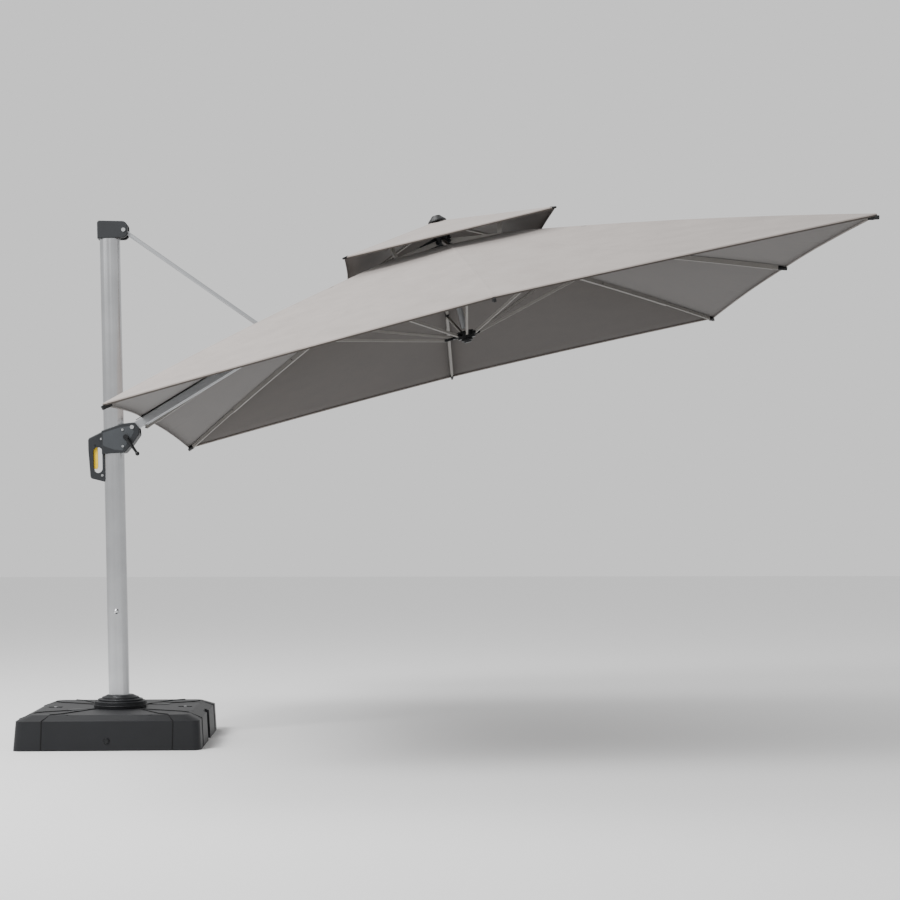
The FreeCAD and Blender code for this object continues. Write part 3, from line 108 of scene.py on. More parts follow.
camera_data = bpy.data.cameras.new("camera")
camera_data.lens = LENS_MM
camera_data.sensor_width = SENSOR_MM
camera = bpy.data.objects.new("camera", camera_data)
camera.location = CAMERA_AT
camera.rotation_euler = (math.pi / 2 + CAMERA_PITCH, 0, CAMERA_YAW)
bpy.context.collection.objects.link(camera)
bpy.context.scene.camera = camera

# %% [markdown]
# ## The lift cord
# A thin black cord leaves the housing, lies taut along the top of the arm and goes in through a
# slot. It could be a chain of cylinders, but those would show corners at the slot, so it is one
# smooth curve with a round bevel. Its points are the ones that the engineering model uses, with
# one more on each side of the slot where the cord is straight.

# %% Lift cord
CORD_DIAMETER = 0.0035
CORD_GAP = 0.00015  # air between the cord and the arm's top
ARM_TOP = 0.022
CORD_INSIDE = 0.01285
cord_top = ARM_TOP + CORD_DIAMETER / 2 + CORD_GAP
cord_points = [(0.030, cord_top), (0.318, cord_top), (0.360, cord_top), (0.402, CORD_INSIDE),
               (0.444, CORD_INSIDE), (1.4763, CORD_INSIDE)]  # along the arm, above its line

cord_curve = bpy.data.curves.new("lift_cord_line", "CURVE")
cord_curve.dimensions = "3D"
cord_curve.resolution_u = 8
line = cord_curve.splines.new("NURBS")
line.points.add(len(cord_points) - 1)
for point, (x, z) in zip(line.points, cord_points):
    point.co = (*(arm @ Vector((x, 0, z))), 1)
line.order_u = 3
line.use_endpoint_u = True
cord_line = bpy.data.objects.new("lift_cord_line", cord_curve)
cord_path = [vertex.co.copy() for vertex in bpy.data.meshes.new_from_object(cord_line).vertices]
cord_curve.bevel_depth = CORD_DIAMETER / 2
cord_curve.bevel_resolution = 4
cord_curve.use_fill_caps = True
lift_cord = bpy.data.objects.new("lift_cord_braid", bpy.data.meshes.new_from_object(cord_line))
bpy.data.objects.remove(cord_line)
bpy.context.collection.objects.link(lift_cord)
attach(lift_cord, "arm")
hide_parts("lift_cord")

# %% [markdown]
# ## Mixing the finishes
# Each finish is a small network of nodes. One function adds a node with its settings and links,
# and another turns the usual hex colours, which are made for screens, into linear light.

# %% Helpers for materials
MIX_DARK, MIX_LIGHT, MIX_COLOUR = 6, 7, 2  # a Mix node's two colour inputs and its colour output
RELIEF = 0.6


def linear(colour):
    """A hex colour, as linear red, green, blue and full opacity."""
    parts = [int(colour[k:k + 2], 16) / 255 for k in (1, 3, 5)]
    return (*(c / 12.92 if c <= 0.04045 else ((c + 0.055) / 1.055) ** 2.4 for c in parts), 1.0)


def add(material, kind, settings=None, wires=None):
    """A node with its settings by name, and its inputs wired to other nodes' outputs."""
    node = material.node_tree.nodes.new("ShaderNode" + kind)
    for name, value in (settings or {}).items():
        if isinstance(name, str) and hasattr(node, name):
            setattr(node, name, value)
        else:
            node.inputs[name].default_value = value
    for name, source in (wires or {}).items():
        material.node_tree.links.new(source, node.inputs[name])
    return node


def new_finish(name, roughness, metallic=0.0, **sockets):
    """A material with its shader, the numbers that are the same all over set on the shader."""
    material = bpy.data.materials.new(name)
    material.use_nodes = True
    shader = material.node_tree.nodes["Principled BSDF"]
    shader.inputs["Roughness"].default_value = roughness
    shader.inputs["Metallic"].default_value = metallic
    for socket, value in sockets.items():
        shader.inputs[socket.replace("_", " ")].default_value = value
    return material, shader


def between_tones(material, shader, share, dark, light):
    """Base colour that follows a share from 0, the dark tone, to 1, the light one."""
    tones = add(material, "Mix", {"data_type": "RGBA"}, {"Factor": share})
    tones.inputs[MIX_DARK].default_value = linear(dark)
    tones.inputs[MIX_LIGHT].default_value = linear(light)
    material.node_tree.links.new(tones.outputs[MIX_COLOUR], shader.inputs["Base Color"])


def mottle(material, shader, dark, light, patch_mm):
    """Colour that drifts between two tones in soft patches."""
    where = add(material, "TexCoord").outputs["Object"]
    patches = add(material, "TexNoise", {"Scale": 1000 / patch_mm, "Detail": 3.0}, {"Vector": where})
    between_tones(material, shader, patches.outputs["Fac"], dark, light)
    return where


def grain(material, shader, where, grain_mm, depth_mm, stretch=(1, 1, 1), turn=(0, 0, 0)):
    """Fine relief: moulded grain, or drawn lines where it is stretched."""
    laid = add(material, "Mapping", {"Scale": stretch, "Rotation": turn}, {"Vector": where})
    noise = add(material, "TexNoise", {"Scale": 1000 / grain_mm, "Detail": 2.0},
                {"Vector": laid.outputs["Vector"]})
    bump = add(material, "Bump", {"Strength": RELIEF, "Distance": depth_mm / 1000},
               {"Height": noise.outputs["Fac"]})
    material.node_tree.links.new(bump.outputs["Normal"], shader.inputs["Normal"])
    return bump


# %% [markdown]
# ## Plastics
# The tank is rotationally moulded polyethylene: dull, slightly waxy, with a pebbled skin. The
# housing and the fittings are injection-moulded ABS and nylon with a finer spark-eroded grain.
# The true grain of ABS is near 0.3 mm, and it is drawn at about 1 mm so that it shows. The grain
# could be modelled, but it is far too fine for that, so it is relief in the finish. Sand and powder
# coat scatter light in the same way and use the same recipe, as does the near-black painted shade in the
# tank's grooves.

# %% Plastic finishes, and others of the same kind
POLYMER_IOR = 1.45
POLYMER_GLOSS = 0.35


def moulded(name, dark, light, roughness, grain_mm, depth_mm, patch_mm=60):
    """A dull solid-coloured finish with a pebbled grain."""
    material, shader = new_finish(name, roughness, IOR=POLYMER_IOR, Specular_IOR_Level=POLYMER_GLOSS)
    where = mottle(material, shader, dark, light, patch_mm)
    grain(material, shader, where, grain_mm, depth_mm)
    return material


tank_plastic = moulded("hdpe_rotomoulded_black", "#141517", "#1B1C1F", 0.50, 2.2, 0.35, 90)
housing_plastic = moulded("abs_moulded_charcoal", "#202224", "#292B2E", 0.44, 1.1, 0.12)
panel_plastic = moulded("abs_moulded_slate", "#36393C", "#3F4245", 0.40, 1.1, 0.10)
fitting_plastic = moulded("nylon_moulded_black", "#0F1011", "#161719", 0.40, 1.0, 0.10)
cap_plastic = moulded("nylon_moulded_dark_grey", "#1D1F21", "#26282B", 0.42, 1.0, 0.10)
# painted shade: a near-black finish for the beads that stand for the shadow down in the tank's grooves
groove_shade_black = moulded("groove_shade_moulded_black", "#060607", "#0A0A0B", 0.75, 1.5, 0.1)
sand = moulded("sand_washed", "#1B1A19", "#2A2826", 0.95, 1.5, 0.6)
lever_plastic = moulded("abs_moulded_yellow", "#DDB514", "#E8C324", 0.36, 1.1, 0.06)

# %% [markdown]
# ## Metals
# The mast and the arm are extruded aluminium with a satin anodised skin, which keeps faint lines
# along the extrusion, and the mast has shallow flutes. The lines could be an anisotropic gloss,
# but relief also shows them close up. They are stretched noise, turned to lie along each tube,
# and the flutes are a Wave texture. The ribs are steel tube with a silver powder coat, bolts are
# bright zinc plate, and the frame in the tank is galvanised.

# %% Metal finishes
WAVE_SCALE_MM = 1000 * 2 * math.pi / 20  # Scale for 1 mm: a Wave repeats every 2 pi / 20 of a unit
METAL_PATCH_MM = 120
LINE_STRETCH = 0.02
LINE_DEPTH_MM = 0.05
FLUTE_MM = 16
FLUTE_DEPTH = 0.0008
FLUTE_RELIEF = 0.5


def drawn_metal(name, dark, light, roughness, line_mm, along, turn=0.0, flute_mm=0.0):
    """Metal with lines that run along one axis of a turned frame, and shallow flutes if asked."""
    material, shader = new_finish(name, roughness, metallic=1.0)
    where = mottle(material, shader, dark, light, METAL_PATCH_MM)
    stretch = [LINE_STRETCH if axis == along else 1.0 for axis in "XYZ"]
    lines = grain(material, shader, where, line_mm, LINE_DEPTH_MM, stretch, (0, turn, 0))
    if flute_mm:
        upright = add(material, "Mapping", {"Rotation": (0, turn, 0)}, {"Vector": where})
        flutes = add(material, "TexWave", {"Scale": WAVE_SCALE_MM / flute_mm, "bands_direction": "X"},
                     {"Vector": upright.outputs["Vector"]})
        deep = add(material, "Bump", {"Strength": FLUTE_RELIEF, "Distance": FLUTE_DEPTH},
                   {"Height": flutes.outputs["Fac"], "Normal": lines.outputs["Normal"]})
        material.node_tree.links.new(deep.outputs["Normal"], shader.inputs["Normal"])
    return material


mast_metal = drawn_metal("aluminium_satin_anodised_mast", "#A6A7A9", "#C3C4C6", 0.26, 4.0, "Z", MAST_RAKE,
                         flute_mm=FLUTE_MM)
arm_metal = drawn_metal("aluminium_satin_anodised_arm", "#A3A5A8", "#B3B5B7", 0.36, 3.0, "X",
                        math.atan2(arm.col[0][2], arm.col[0][0]))
rib_metal = moulded("steel_powder_coated_silver", "#7C7975", "#8A8783", 0.42, 1.2, 0.04)
bolt_metal = drawn_metal("steel_bright_zinc", "#C4C6C8", "#D2D3D4", 0.22, 2.0, "X")
frame_metal = drawn_metal("steel_galvanised", "#74777A", "#8A8D90", 0.55, 6.0, "X")

# %% [markdown]
# ## The cloth
# The canopy is woven solution-dyed polyester, warm light grey. Its threads are about 0.5 mm apart,
# which no view from a few metres could show, so the weave is drawn at 6 mm. The inside is the
# same cloth coloured darker, as painted shade for the shade under the canopy. Object coordinates
# would run straight through the seams, so the pattern follows each panel's own UV map, in metres,
# as real cloth is cut and sewn.

# %% Cloth finishes
WEAVE_MM = 6.0
WEAVE_DEPTH = 0.0004
WEAVE_RELIEF = 0.25
MELANGE_MM = 9.0  # slubs of lighter and darker yarn
SLUB_STRETCH = 0.25
PATCH_MM = 150
PATCH_SHARE = 0.45  # of the tone, the rest being slubs
DARKEST, PALEST = 0.32, 0.68  # noise below and above which the tone no longer changes


def woven(name, dark, light, roughness):
    """Cloth with slubs and patches in its tone, and threads crossing in its relief."""
    material, shader = new_finish(name, roughness, Sheen_Weight=0.25, Sheen_Roughness=0.5)
    laid = add(material, "TexCoord").outputs["UV"]
    stretched = add(material, "Mapping", {"Scale": (SLUB_STRETCH, 1.0, 1.0)}, {"Vector": laid})
    yarns = add(material, "TexNoise", {"Scale": 1000 / MELANGE_MM, "Detail": 4.0, "Roughness": 0.65},
                {"Vector": stretched.outputs["Vector"]})
    patches = add(material, "TexNoise", {"Scale": 1000 / PATCH_MM, "Detail": 2.0}, {"Vector": laid})
    both = add(material, "Mix", {"data_type": "FLOAT", "Factor": PATCH_SHARE},
               {"A": yarns.outputs["Fac"], "B": patches.outputs["Fac"]})
    spread = add(material, "MapRange", {"From Min": DARKEST, "From Max": PALEST},
                 {"Value": both.outputs["Result"]})
    between_tones(material, shader, spread.outputs["Result"], dark, light)
    threads = []
    for angle in (0.0, math.pi / 2):
        turned = add(material, "Mapping", {"Rotation": (0, 0, angle)}, {"Vector": laid})
        wave = add(material, "TexWave", {"Scale": WAVE_SCALE_MM / WEAVE_MM, "Distortion": 0.6},
                   {"Vector": turned.outputs["Vector"]})
        threads.append(wave.outputs["Fac"])
    weave = add(material, "Math", {"operation": "MULTIPLY"}, {0: threads[0], 1: threads[1]})
    bump = add(material, "Bump", {"Strength": WEAVE_RELIEF, "Distance": WEAVE_DEPTH},
               {"Height": weave.outputs["Value"]})
    material.node_tree.links.new(bump.outputs["Normal"], shader.inputs["Normal"])
    return material


cloth_outside = woven("polyester_woven_warm_grey", "#8C847F", "#9E9691", 0.85)
# the inside is the same cloth painted darker: painted shade for the shade under the canopy
cloth_inside_painted_shade = woven("polyester_inside_painted_shade", "#39332F", "#423B36", 0.85)
cord_material = moulded("polyester_braided_black", "#17181A", "#222326", 0.7, 1.5, 0.2)

# %% [markdown]
# ## Dressing the engineering model
# The pieces of the engineering model keep their shapes and only get a finish in their material
# slot. A table from finish to pieces is easier to read than a line for each of them, and it
# shows at a glance what is made of what.

# %% Give each CAD node its finish
ribs_around = ["east", "north_east", "north", "north_west", "west", "south_west", "south", "south_east"]
corners_around = ribs_around[1::2]
finish_of = {
    tank_plastic: ["ballast_tank", "foot_cover"],
    housing_plastic: ["slider_housing"],
    panel_plastic: ["panel_near", "panel_far"],
    lever_plastic: ["grip_lever"],
    cap_plastic: ["mast_cap", "top_hub", "filler_cap_front", "filler_cap_back"],
    fitting_plastic: ["crank_handle", "winch_drum", "drain_plug", "runner", "runner_knob", "finial",
                      "strut_fork", "strut_eye"],
    mast_metal: ["mast_lower", "mast_upper", "joint_sleeve", "pivot_post", "turn_plate"],
    arm_metal: ["arm_tube", "arm_root", "strut_tube", "centre_tube"],
    bolt_metal: ["arm_bolt", "mast_bolt", "strut_bolt", "anchor_bolt_west", "anchor_bolt_east"],
    frame_metal: ["cross_frame"],
    sand: ["sand_fill"],
    rib_metal: ["rib_" + n for n in ribs_around] + ["brace_" + n for n in ribs_around]
    + ["vent_rib_" + n for n in corners_around],
}
for material, nodes in finish_of.items():
    for node in nodes:
        for slot in frame["nodes"][node].material_slots:
            slot.material = material
lift_cord.data.materials.append(cord_material)

# %% [markdown]
# ## The lines that the cloth hangs on
# Eight ribs carry the canopy: four to the corners and four to the middles of the edges. Each rib
# bows up a little. The cloth lies just over them, except over the arm, where it clears the arm's
# top. The cloth could be draped over the ribs by a simulation, but it is stretched tight, so it
# is enough to know its height over each rib. A small class keeps one rib's sizes together.

# %% Rib lines
RIB_HALF_TALL = 0.011
CLOTH_OVER = 0.0034
CORNER_HALF = 1.500    # half a side of the square between the corner tips
MID_HALF = 1.5415      # from the axis to the middle of an edge
MID_LIFT = 0.037       # middle tips above the plane of the corners
CORNER_BOW, MID_BOW = 0.020, 0.014
WEST_OUT, WEST_ASIDE = 0.085, -0.042  # the west rib starts beside the arm
HOLE_HALF = 0.280      # half the hole under the vent canopy
ARM_TO_CANOPY = math.radians(17.7)
CLOTH_OVER_ARM = 0.0055
SLOPE_STEPS = 3        # tries at how far along the rib a point out from the axis lies


class RibLine:
    """One rib's centre line and the cloth over it."""

    def __init__(self, number):
        self.name = ribs_around[number]
        self.turn = Matrix.Rotation(math.radians(45 * number), 4, "Z")
        self.corner = number % 2 == 1
        self.west = self.name == "west"
        self.bow = CORNER_BOW if self.corner else MID_BOW
        self.out = WEST_OUT if self.west else RIB_ROOT_OUT
        self.edge = CORNER_HALF * math.sqrt(2) if self.corner else MID_HALF
        self.hole = HOLE_HALF * (math.sqrt(2) if self.corner else 1)
        self.over = RIB_HALF_TALL + CLOTH_OVER
        fall = RIB_ROOT_HIGH - (0 if self.corner else MID_LIFT)
        run = self.edge - self.out
        self.long = math.sqrt(run**2 + fall**2 - self.over**2)
        self.dip = math.atan2(fall, run) + math.atan2(self.over, self.long)
        aside = WEST_ASIDE if self.west else 0
        tilt = Matrix.Rotation(self.dip, 4, "Y")
        self.frame = self.turn @ Matrix.Translation((self.out, aside, RIB_ROOT_HIGH)) @ tilt
        self.cloth = self.turn @ Matrix.Translation((self.out, 0, RIB_ROOT_HIGH)) @ tilt

    def rise(self, x):
        """How far the bowed rib stands above its chord."""
        radius = (self.long**2 / 4 + self.bow**2) / (2 * self.bow)
        return math.sqrt(radius**2 - (x - self.long / 2) ** 2) - (radius - self.bow)

    def cloth_point(self, share):
        """The cloth over the rib, from the vent hole at 0 to the hem at 1, in the canopy's frame."""
        out = self.hole + (self.edge - self.hole) * share
        if self.west:
            top = HUB_HIGH + 2 * RIB_HALF_TALL / math.cos(ARM_TO_CANOPY) + CLOTH_OVER_ARM
            return Vector((-out, 0, top - math.tan(ARM_TO_CANOPY) * out))
        x = (out - self.out) / math.cos(self.dip)
        for _ in range(SLOPE_STEPS):
            high = self.over + self.rise(min(x, self.long))
            x = (out - self.out - high * math.sin(self.dip)) / math.cos(self.dip)
        return self.cloth @ Vector((x, 0, self.over + self.rise(min(x, self.long))))


rib_lines = [RibLine(number) for number in range(8)]
print("corner rib", round(rib_lines[1].long, 3), "m, middle rib", round(rib_lines[0].long, 3), "m")

# %% [markdown]
# ## Panels of cloth
# The canopy could be one sheet, but it has to fold: so it is cut along the lines halfway between
# the ribs, and each panel rides on its rib. A panel starts as a flat grid, and every vertex is
# then moved to its place. The cloth sags a little between ribs, the hem is cut slightly hollow,
# a felled seam stands up over each rib, and the hem is doubled and rolled down at the edge. The
# thickness is the outside copied straight down, because Solidify follows each panel's own normals
# and would leave gaps where two meet.

# %% Pieces from bmeshes
def new_piece(name, shape, *materials):
    """An object from a finished bmesh, linked to the scene."""
    mesh = bpy.data.meshes.new(name)
    shape.to_mesh(mesh)
    shape.free()
    piece = bpy.data.objects.new(name, mesh)
    bpy.context.collection.objects.link(piece)
    for material in materials:
        mesh.materials.append(material)
    return piece


def smooth(piece, angle=None):
    """Smooth shading, with sharp edges kept where faces meet at more than an angle."""
    for face in piece.data.polygons:
        face.use_smooth = True
    if angle is not None:
        piece.data.set_sharp_from_angle(angle=math.radians(angle))


# %% Where a panel's rows and columns lie
SEAM_RISE = 0.0007
SEAM_HALF = 0.008
SEAM_COLUMNS = [0.0, 0.004, 0.0065, SEAM_HALF, 0.012]  # out from the rib's centre line
HEM_WIDE = 0.020
HEM_START = 1.25 * HEM_WIDE  # the last plain row, in from the hem's edge
HEM_ROWS = [(HEM_WIDE, SEAM_RISE, 0.0), (0.5 * HEM_WIDE, SEAM_RISE * 1.2, 0.0),
            (0.002, SEAM_RISE, 0.0), (0.0, 0.0, 0.003), (0.0015, 0.0, 0.009)]  # in, up, rolled down


def stations(count, long):
    """Rows from the inner edge at 0 to the hem at 1, each with how far it is lifted and dropped."""
    plain = [(k / count * (1 - HEM_START / long), 0.0, 0.0) for k in range(count + 1)]
    return plain + [(1 - back / long, up, down) for back, up, down in HEM_ROWS]


def columns(count):
    """Columns to each side of the rib: a distance over the seam, then shares of what is left."""
    near = [(offset, 0.0) for offset in SEAM_COLUMNS]
    far = [(0.0, k / count) for k in range(1, count + 1)]
    half = near + far
    return [(-1, *c) for c in reversed(half[1:])] + [(1, *c) for c in half]


# %% Bend a grid into a panel, and finish it
CLOTH_THICK = 0.001
CLOTH_SHARP = 35  # degrees


def panel(surface, rows, sides):
    """A grid bent to surface(column, row), which gives a place in the canopy's frame and its UV."""
    shape = bmesh.new()
    bmesh.ops.create_grid(shape, x_segments=len(sides) - 1, y_segments=len(rows) - 1, size=0.5)
    uv = shape.loops.layers.uv.new("UVMap")
    flat = {}
    for vertex in shape.verts:
        across = round((vertex.co.x + 0.5) * (len(sides) - 1))
        down = round((vertex.co.y + 0.5) * (len(rows) - 1))
        place, wide, far = surface(sides[across], rows[down])
        flat[vertex] = (wide, far)
        vertex.co = canopy @ place
    for face in shape.faces:
        for loop in face.loops:
            loop[uv].uv = flat[loop.vert]
    shape.normal_update()
    if sum(face.normal.z for face in shape.faces) < 0:
        bmesh.ops.reverse_faces(shape, faces=shape.faces)
    return shape


def give_thickness(shape):
    """A copy of the outside, lowered by the cloth's thickness and joined round the edges."""
    inner = canopy.to_3x3() @ Vector((0, 0, -CLOTH_THICK))
    outside = shape.faces[:]
    made = bmesh.ops.extrude_face_region(shape, geom=outside, use_keep_orig=True)["geom"]
    lowered = [item for item in made if isinstance(item, bmesh.types.BMVert)]
    bmesh.ops.translate(shape, verts=lowered, vec=inner)
    inside = [item for item in made if isinstance(item, bmesh.types.BMFace)]
    for face in inside:
        # material 1 is the inside, coloured darker as painted shade
        face.material_index = 1
    bmesh.ops.reverse_faces(shape, faces=inside)
    bmesh.ops.recalc_face_normals(shape, faces=shape.faces)


def finish_panel(piece, body, replaced):
    """Shading, body and own mesh of one panel, with the CAD piece that it replaces hidden."""
    smooth(piece, CLOTH_SHARP)
    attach(piece, body)
    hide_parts(replaced)
    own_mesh(piece)


# %% [markdown]
# ## The main canopy
# Between two ribs the tight cloth is lowest halfway, and its hem is cut a little hollow so that it
# can't flap. Near the hem the stitching gathers it in small ripples. All three could be sculpted,
# but a sine and an exponential do it evenly on all sides. The strut's fork reaches the arm
# through an opening in the west panel, which is cut with four planes.

# %% Main canopy: eight panels
SAG = 0.010
HEM_HOLLOW = 0.012
HEM_LIFT = 0.004
RIPPLE_HIGH = 0.0016
RIPPLE_REACH = 0.10   # how fast ripples die away from the hem, as a share of the panel
RIPPLE_TURN = 62      # radians of ripple in a metre
RIPPLE_GROW = 8       # how soon they start beside a rib
STRUT_OPENING = (0.7054, 0.8104, 0.031)  # along the arm from, to, and half its width
MAIN_ROWS, MAIN_COLUMNS = 26, 14


def main_surface(number):
    """The surface of one main panel, out to the lines halfway to the next ribs."""
    own = rib_lines[number]
    beside = {1: rib_lines[(number + 1) % 8], -1: rib_lines[(number - 1) % 8]}

    def surface(column, row):
        side, offset, share = column
        far, lift, drop = row
        here, there = own.cloth_point(far), beside[side].cloth_point(far)
        gap = (there - here).length
        near = SEAM_COLUMNS[-1] / gap
        part = offset / gap if share == 0 else near + (0.5 - near) * share
        place = here.lerp(there, part)
        between = 4 * part * (1 - part)
        place.z += between * (HEM_LIFT * far**4 - SAG * math.sin(math.pi * min(far, 1)))
        inward = Vector((place.x, place.y, 0)).normalized() * between * HEM_HOLLOW * far**6
        place -= inward
        seam = SEAM_RISE if share == 0 and offset < SEAM_HALF else 0.0
        ripple = RIPPLE_HIGH * math.exp(-(1 - far) / RIPPLE_REACH) * math.sin(part * gap * RIPPLE_TURN)
        ripple *= min(1, part * RIPPLE_GROW)
        place.z += max(lift, seam) - drop + (ripple if lift == 0 and drop == 0 else 0)
        return place, side * part * gap, far * (own.edge - own.hole)

    return surface


def cut_strut_opening(shape):
    """Cut along the opening's four sides and take out the faces between them."""
    start, end, half = STRUT_OPENING
    along = arm.to_3x3() @ Vector((1, 0, 0))
    cuts = [(arm @ Vector((start, 0, 0)), along), (arm @ Vector((end, 0, 0)), along),
            (Vector((0, half, 0)), Vector((0, 1, 0))), (Vector((0, -half, 0)), Vector((0, 1, 0)))]
    for at, normal in cuts:
        everything = shape.verts[:] + shape.edges[:] + shape.faces[:]
        bmesh.ops.bisect_plane(shape, geom=everything, plane_co=at, plane_no=normal)
    inside = []
    for face in shape.faces:
        middle = arm.inverted() @ face.calc_center_median()
        if start < middle.x < end and abs(middle.y) < half:
            inside.append(face)
    bmesh.ops.delete(shape, geom=inside, context="FACES")


for number, own in enumerate(rib_lines):
    rows = stations(MAIN_ROWS, own.edge - own.hole)
    shape = panel(main_surface(number), rows, columns(MAIN_COLUMNS))
    if own.west:
        cut_strut_opening(shape)
    give_thickness(shape)
    piece = new_piece("canopy_panel_" + own.name, shape, cloth_outside, cloth_inside_painted_shade)
    finish_panel(piece, "rib_" + own.name, "main_canopy")

# %% [markdown]
# ## The vent canopy
# A smaller square of the same cloth stands over the hole in the top and lets the wind out. Short
# flat ribs hold its corners up. It could be a scaled copy of the main canopy, but it has only
# four ribs and another slope, so it gets a surface of its own and the same helpers. It is cut
# into four panels, one for each corner.

# %% Vent canopy: four panels
VENT_HALF, VENT_NECK = 0.4755, 0.034
VENT_CORNER_HIGH, VENT_NECK_HIGH = 0.487, 0.618
VENT_SAG = 0.007
VENT_HOLLOW = 0.008
VENT_SEAM_SHARE = 0.25  # at most, of the way to the next rib
VENT_ROWS, VENT_COLUMNS = 14, 14
vent_long = (VENT_HALF - VENT_NECK) * math.sqrt(2)


def vent_point(line, far):
    """The vent's cloth over one of its ribs, from the neck at 0 to the corner at 1."""
    out = (VENT_NECK + (VENT_HALF - VENT_NECK) * far) * math.sqrt(2)
    high = VENT_NECK_HIGH + (VENT_CORNER_HIGH - VENT_NECK_HIGH) * far
    return line.turn @ Vector((out, 0, high))


def vent_surface(number):
    """The surface of one vent panel, out to the lines halfway to the next corners."""
    own = rib_lines[number]
    beside = {1: rib_lines[(number + 2) % 8], -1: rib_lines[(number - 2) % 8]}

    def surface(column, row):
        side, offset, share = column
        far, lift, drop = row
        here, there = vent_point(own, far), vent_point(beside[side], far)
        gap = (there - here).length
        near = min(SEAM_COLUMNS[-1] / gap, VENT_SEAM_SHARE)
        part = near * offset / SEAM_COLUMNS[-1] if share == 0 else near + (0.5 - near) * share
        place = here.lerp(there, part)
        between = 4 * part * (1 - part)
        place.z -= between * VENT_SAG * math.sin(math.pi * min(far, 1))
        place -= Vector((place.x, place.y, 0)).normalized() * between * VENT_HOLLOW * far**6
        seam = SEAM_RISE if share == 0 and offset < SEAM_HALF else 0.0
        place.z += max(lift, seam) - drop
        return place, side * part * gap, far * vent_long

    return surface


for number in (1, 3, 5, 7):
    own = rib_lines[number]
    shape = panel(vent_surface(number), stations(VENT_ROWS, vent_long), columns(VENT_COLUMNS))
    give_thickness(shape)
    piece = new_piece("vent_panel_" + own.name, shape, cloth_outside, cloth_inside_painted_shade)
    finish_panel(piece, "rib_" + own.name, "vent_canopy")

# %% [markdown]
# ## Rib tips
# Each rib ends in a moulded boot that plugs its tube and holds the corner of the cloth. A Bevel
# modifier could round it, but the shape is needed eight times, so it is made once as a function:
# a block is tapered and its edges are rounded. The same block serves the clamps and screw slots.

# %% Helpers: block, dome and join
DOME_STEPS = ((0.22, 0.55), (0.30, 0.30), (0.35, 0.15))  # share of the radius in, of the height up
INSET_SHARE = 0.6
DOME_SIDES = 20
BLOCK_SEGMENTS = 3


def block_in(place, middle, dims, round_by, taper=1.0):
    """A block with rounded edges, in a frame, narrowed towards +X."""
    shape = bmesh.new()
    bmesh.ops.create_cube(shape, size=1)
    for vertex in shape.verts:
        narrow = taper if vertex.co.x > 0 else 1.0
        vertex.co = Vector((vertex.co.x * dims[0], vertex.co.y * dims[1] * narrow,
                            vertex.co.z * dims[2] * narrow))
    bmesh.ops.bevel(shape, geom=shape.edges[:], offset=round_by, offset_type="OFFSET",
                    segments=BLOCK_SEGMENTS, profile=0.5, affect="EDGES", material=-1)
    bmesh.ops.transform(shape, matrix=place @ Matrix.Translation(middle), verts=shape.verts)
    return shape


def join(shapes):
    """One bmesh from several."""
    whole = bmesh.new()
    for shape in shapes:
        mesh = bpy.data.meshes.new("part")
        shape.to_mesh(mesh)
        shape.free()
        whole.from_mesh(mesh)
        bpy.data.meshes.remove(mesh)
    return whole


def dome_in(place, radius, high):
    """A shallow rivet head on the XY plane of a frame, with its top along +Z."""
    shape = bmesh.new()
    bmesh.ops.create_circle(shape, cap_ends=True, radius=radius, segments=DOME_SIDES)
    top = shape.faces[:]
    for share, rise in DOME_STEPS:
        bmesh.ops.inset_region(shape, faces=top, thickness=radius * share * INSET_SHARE, depth=0)
        bmesh.ops.translate(shape, verts=list({v for f in top for v in f.verts}),
                            vec=(0, 0, high * rise))
    bmesh.ops.transform(shape, matrix=place, verts=shape.verts)
    bmesh.ops.recalc_face_normals(shape, faces=shape.faces)
    return shape


def side_face(place, x, half, z, side):
    """A frame on a piece's side, half its width out, with Z pointing away from the piece."""
    return place @ Matrix.Translation((x, side * half, z)) @ Matrix.Rotation(-side * math.pi / 2, 4, "X")


# %% Rib boots
BOOT = (0.044, 0.014, 0.019)  # length, width, height
BOOT_ROUND, BOOT_TAPER, BOOT_BACK = 0.003, 0.86, 0.3  # the last as a share of its length
COLLAR = (0.5, 1.12, 1.06)    # as shares of the boot
COLLAR_ROUND, COLLAR_BACK = 0.0025, 0.55
WEST_BOOT = 0.55              # the west rib's tip is close beside the arm, and smaller
TRIM_SHARP = 40               # degrees

for own in rib_lines:
    slope = math.atan(4 * own.bow / own.long)
    end = canopy @ own.frame @ Matrix.Translation((own.long, 0, 0)) @ Matrix.Rotation(slope, 4, "Y")
    dims = [d * (WEST_BOOT if own.west else 1.0) for d in BOOT]
    collar = [d * share for d, share in zip(dims, COLLAR)]
    shapes = [block_in(end, Vector((-dims[0] * BOOT_BACK, 0, 0)), dims, BOOT_ROUND, BOOT_TAPER),
              block_in(end, Vector((-dims[0] * COLLAR_BACK, 0, 0)), collar, COLLAR_ROUND)]
    boot = new_piece("rib_boot_" + own.name, join(shapes), fitting_plastic)
    smooth(boot, TRIM_SHARP)
    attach(boot, "rib_" + own.name)

# %% [markdown]
# ## Rivets
# Steel rivets go through the corner ribs and show a low domed head on each side. A sphere cut in
# half would be too round and has needless faces, so a flat disc is inset and raised three times.

# %% Rivets along the corner ribs
RIVET_AT = (0.769, 1.14, 1.69)  # along the rib
RIVET_RADIUS, RIVET_HIGH = 0.0042, 0.0018
RIB_HALF_WIDE = 0.007
HEAD_SHARP = 50                 # degrees

for own in rib_lines[1::2]:
    heads = []
    for x in RIVET_AT:
        for side in (-1, 1):
            spot = side_face(canopy @ own.frame, x, RIB_HALF_WIDE, own.rise(x), side)
            heads.append(dome_in(spot, RIVET_RADIUS, RIVET_HIGH))
    rivets = new_piece("rib_rivets_" + own.name, join(heads), bolt_metal)
    smooth(rivets, HEAD_SHARP)
    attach(rivets, "rib_" + own.name)

# %% [markdown]
# ## Brace clamps
# A moulded clamp grips each rib where its brace takes hold. Two jaws with a parting line could be
# made, but under the cloth only the block's rounded outline is seen, so a block is enough.

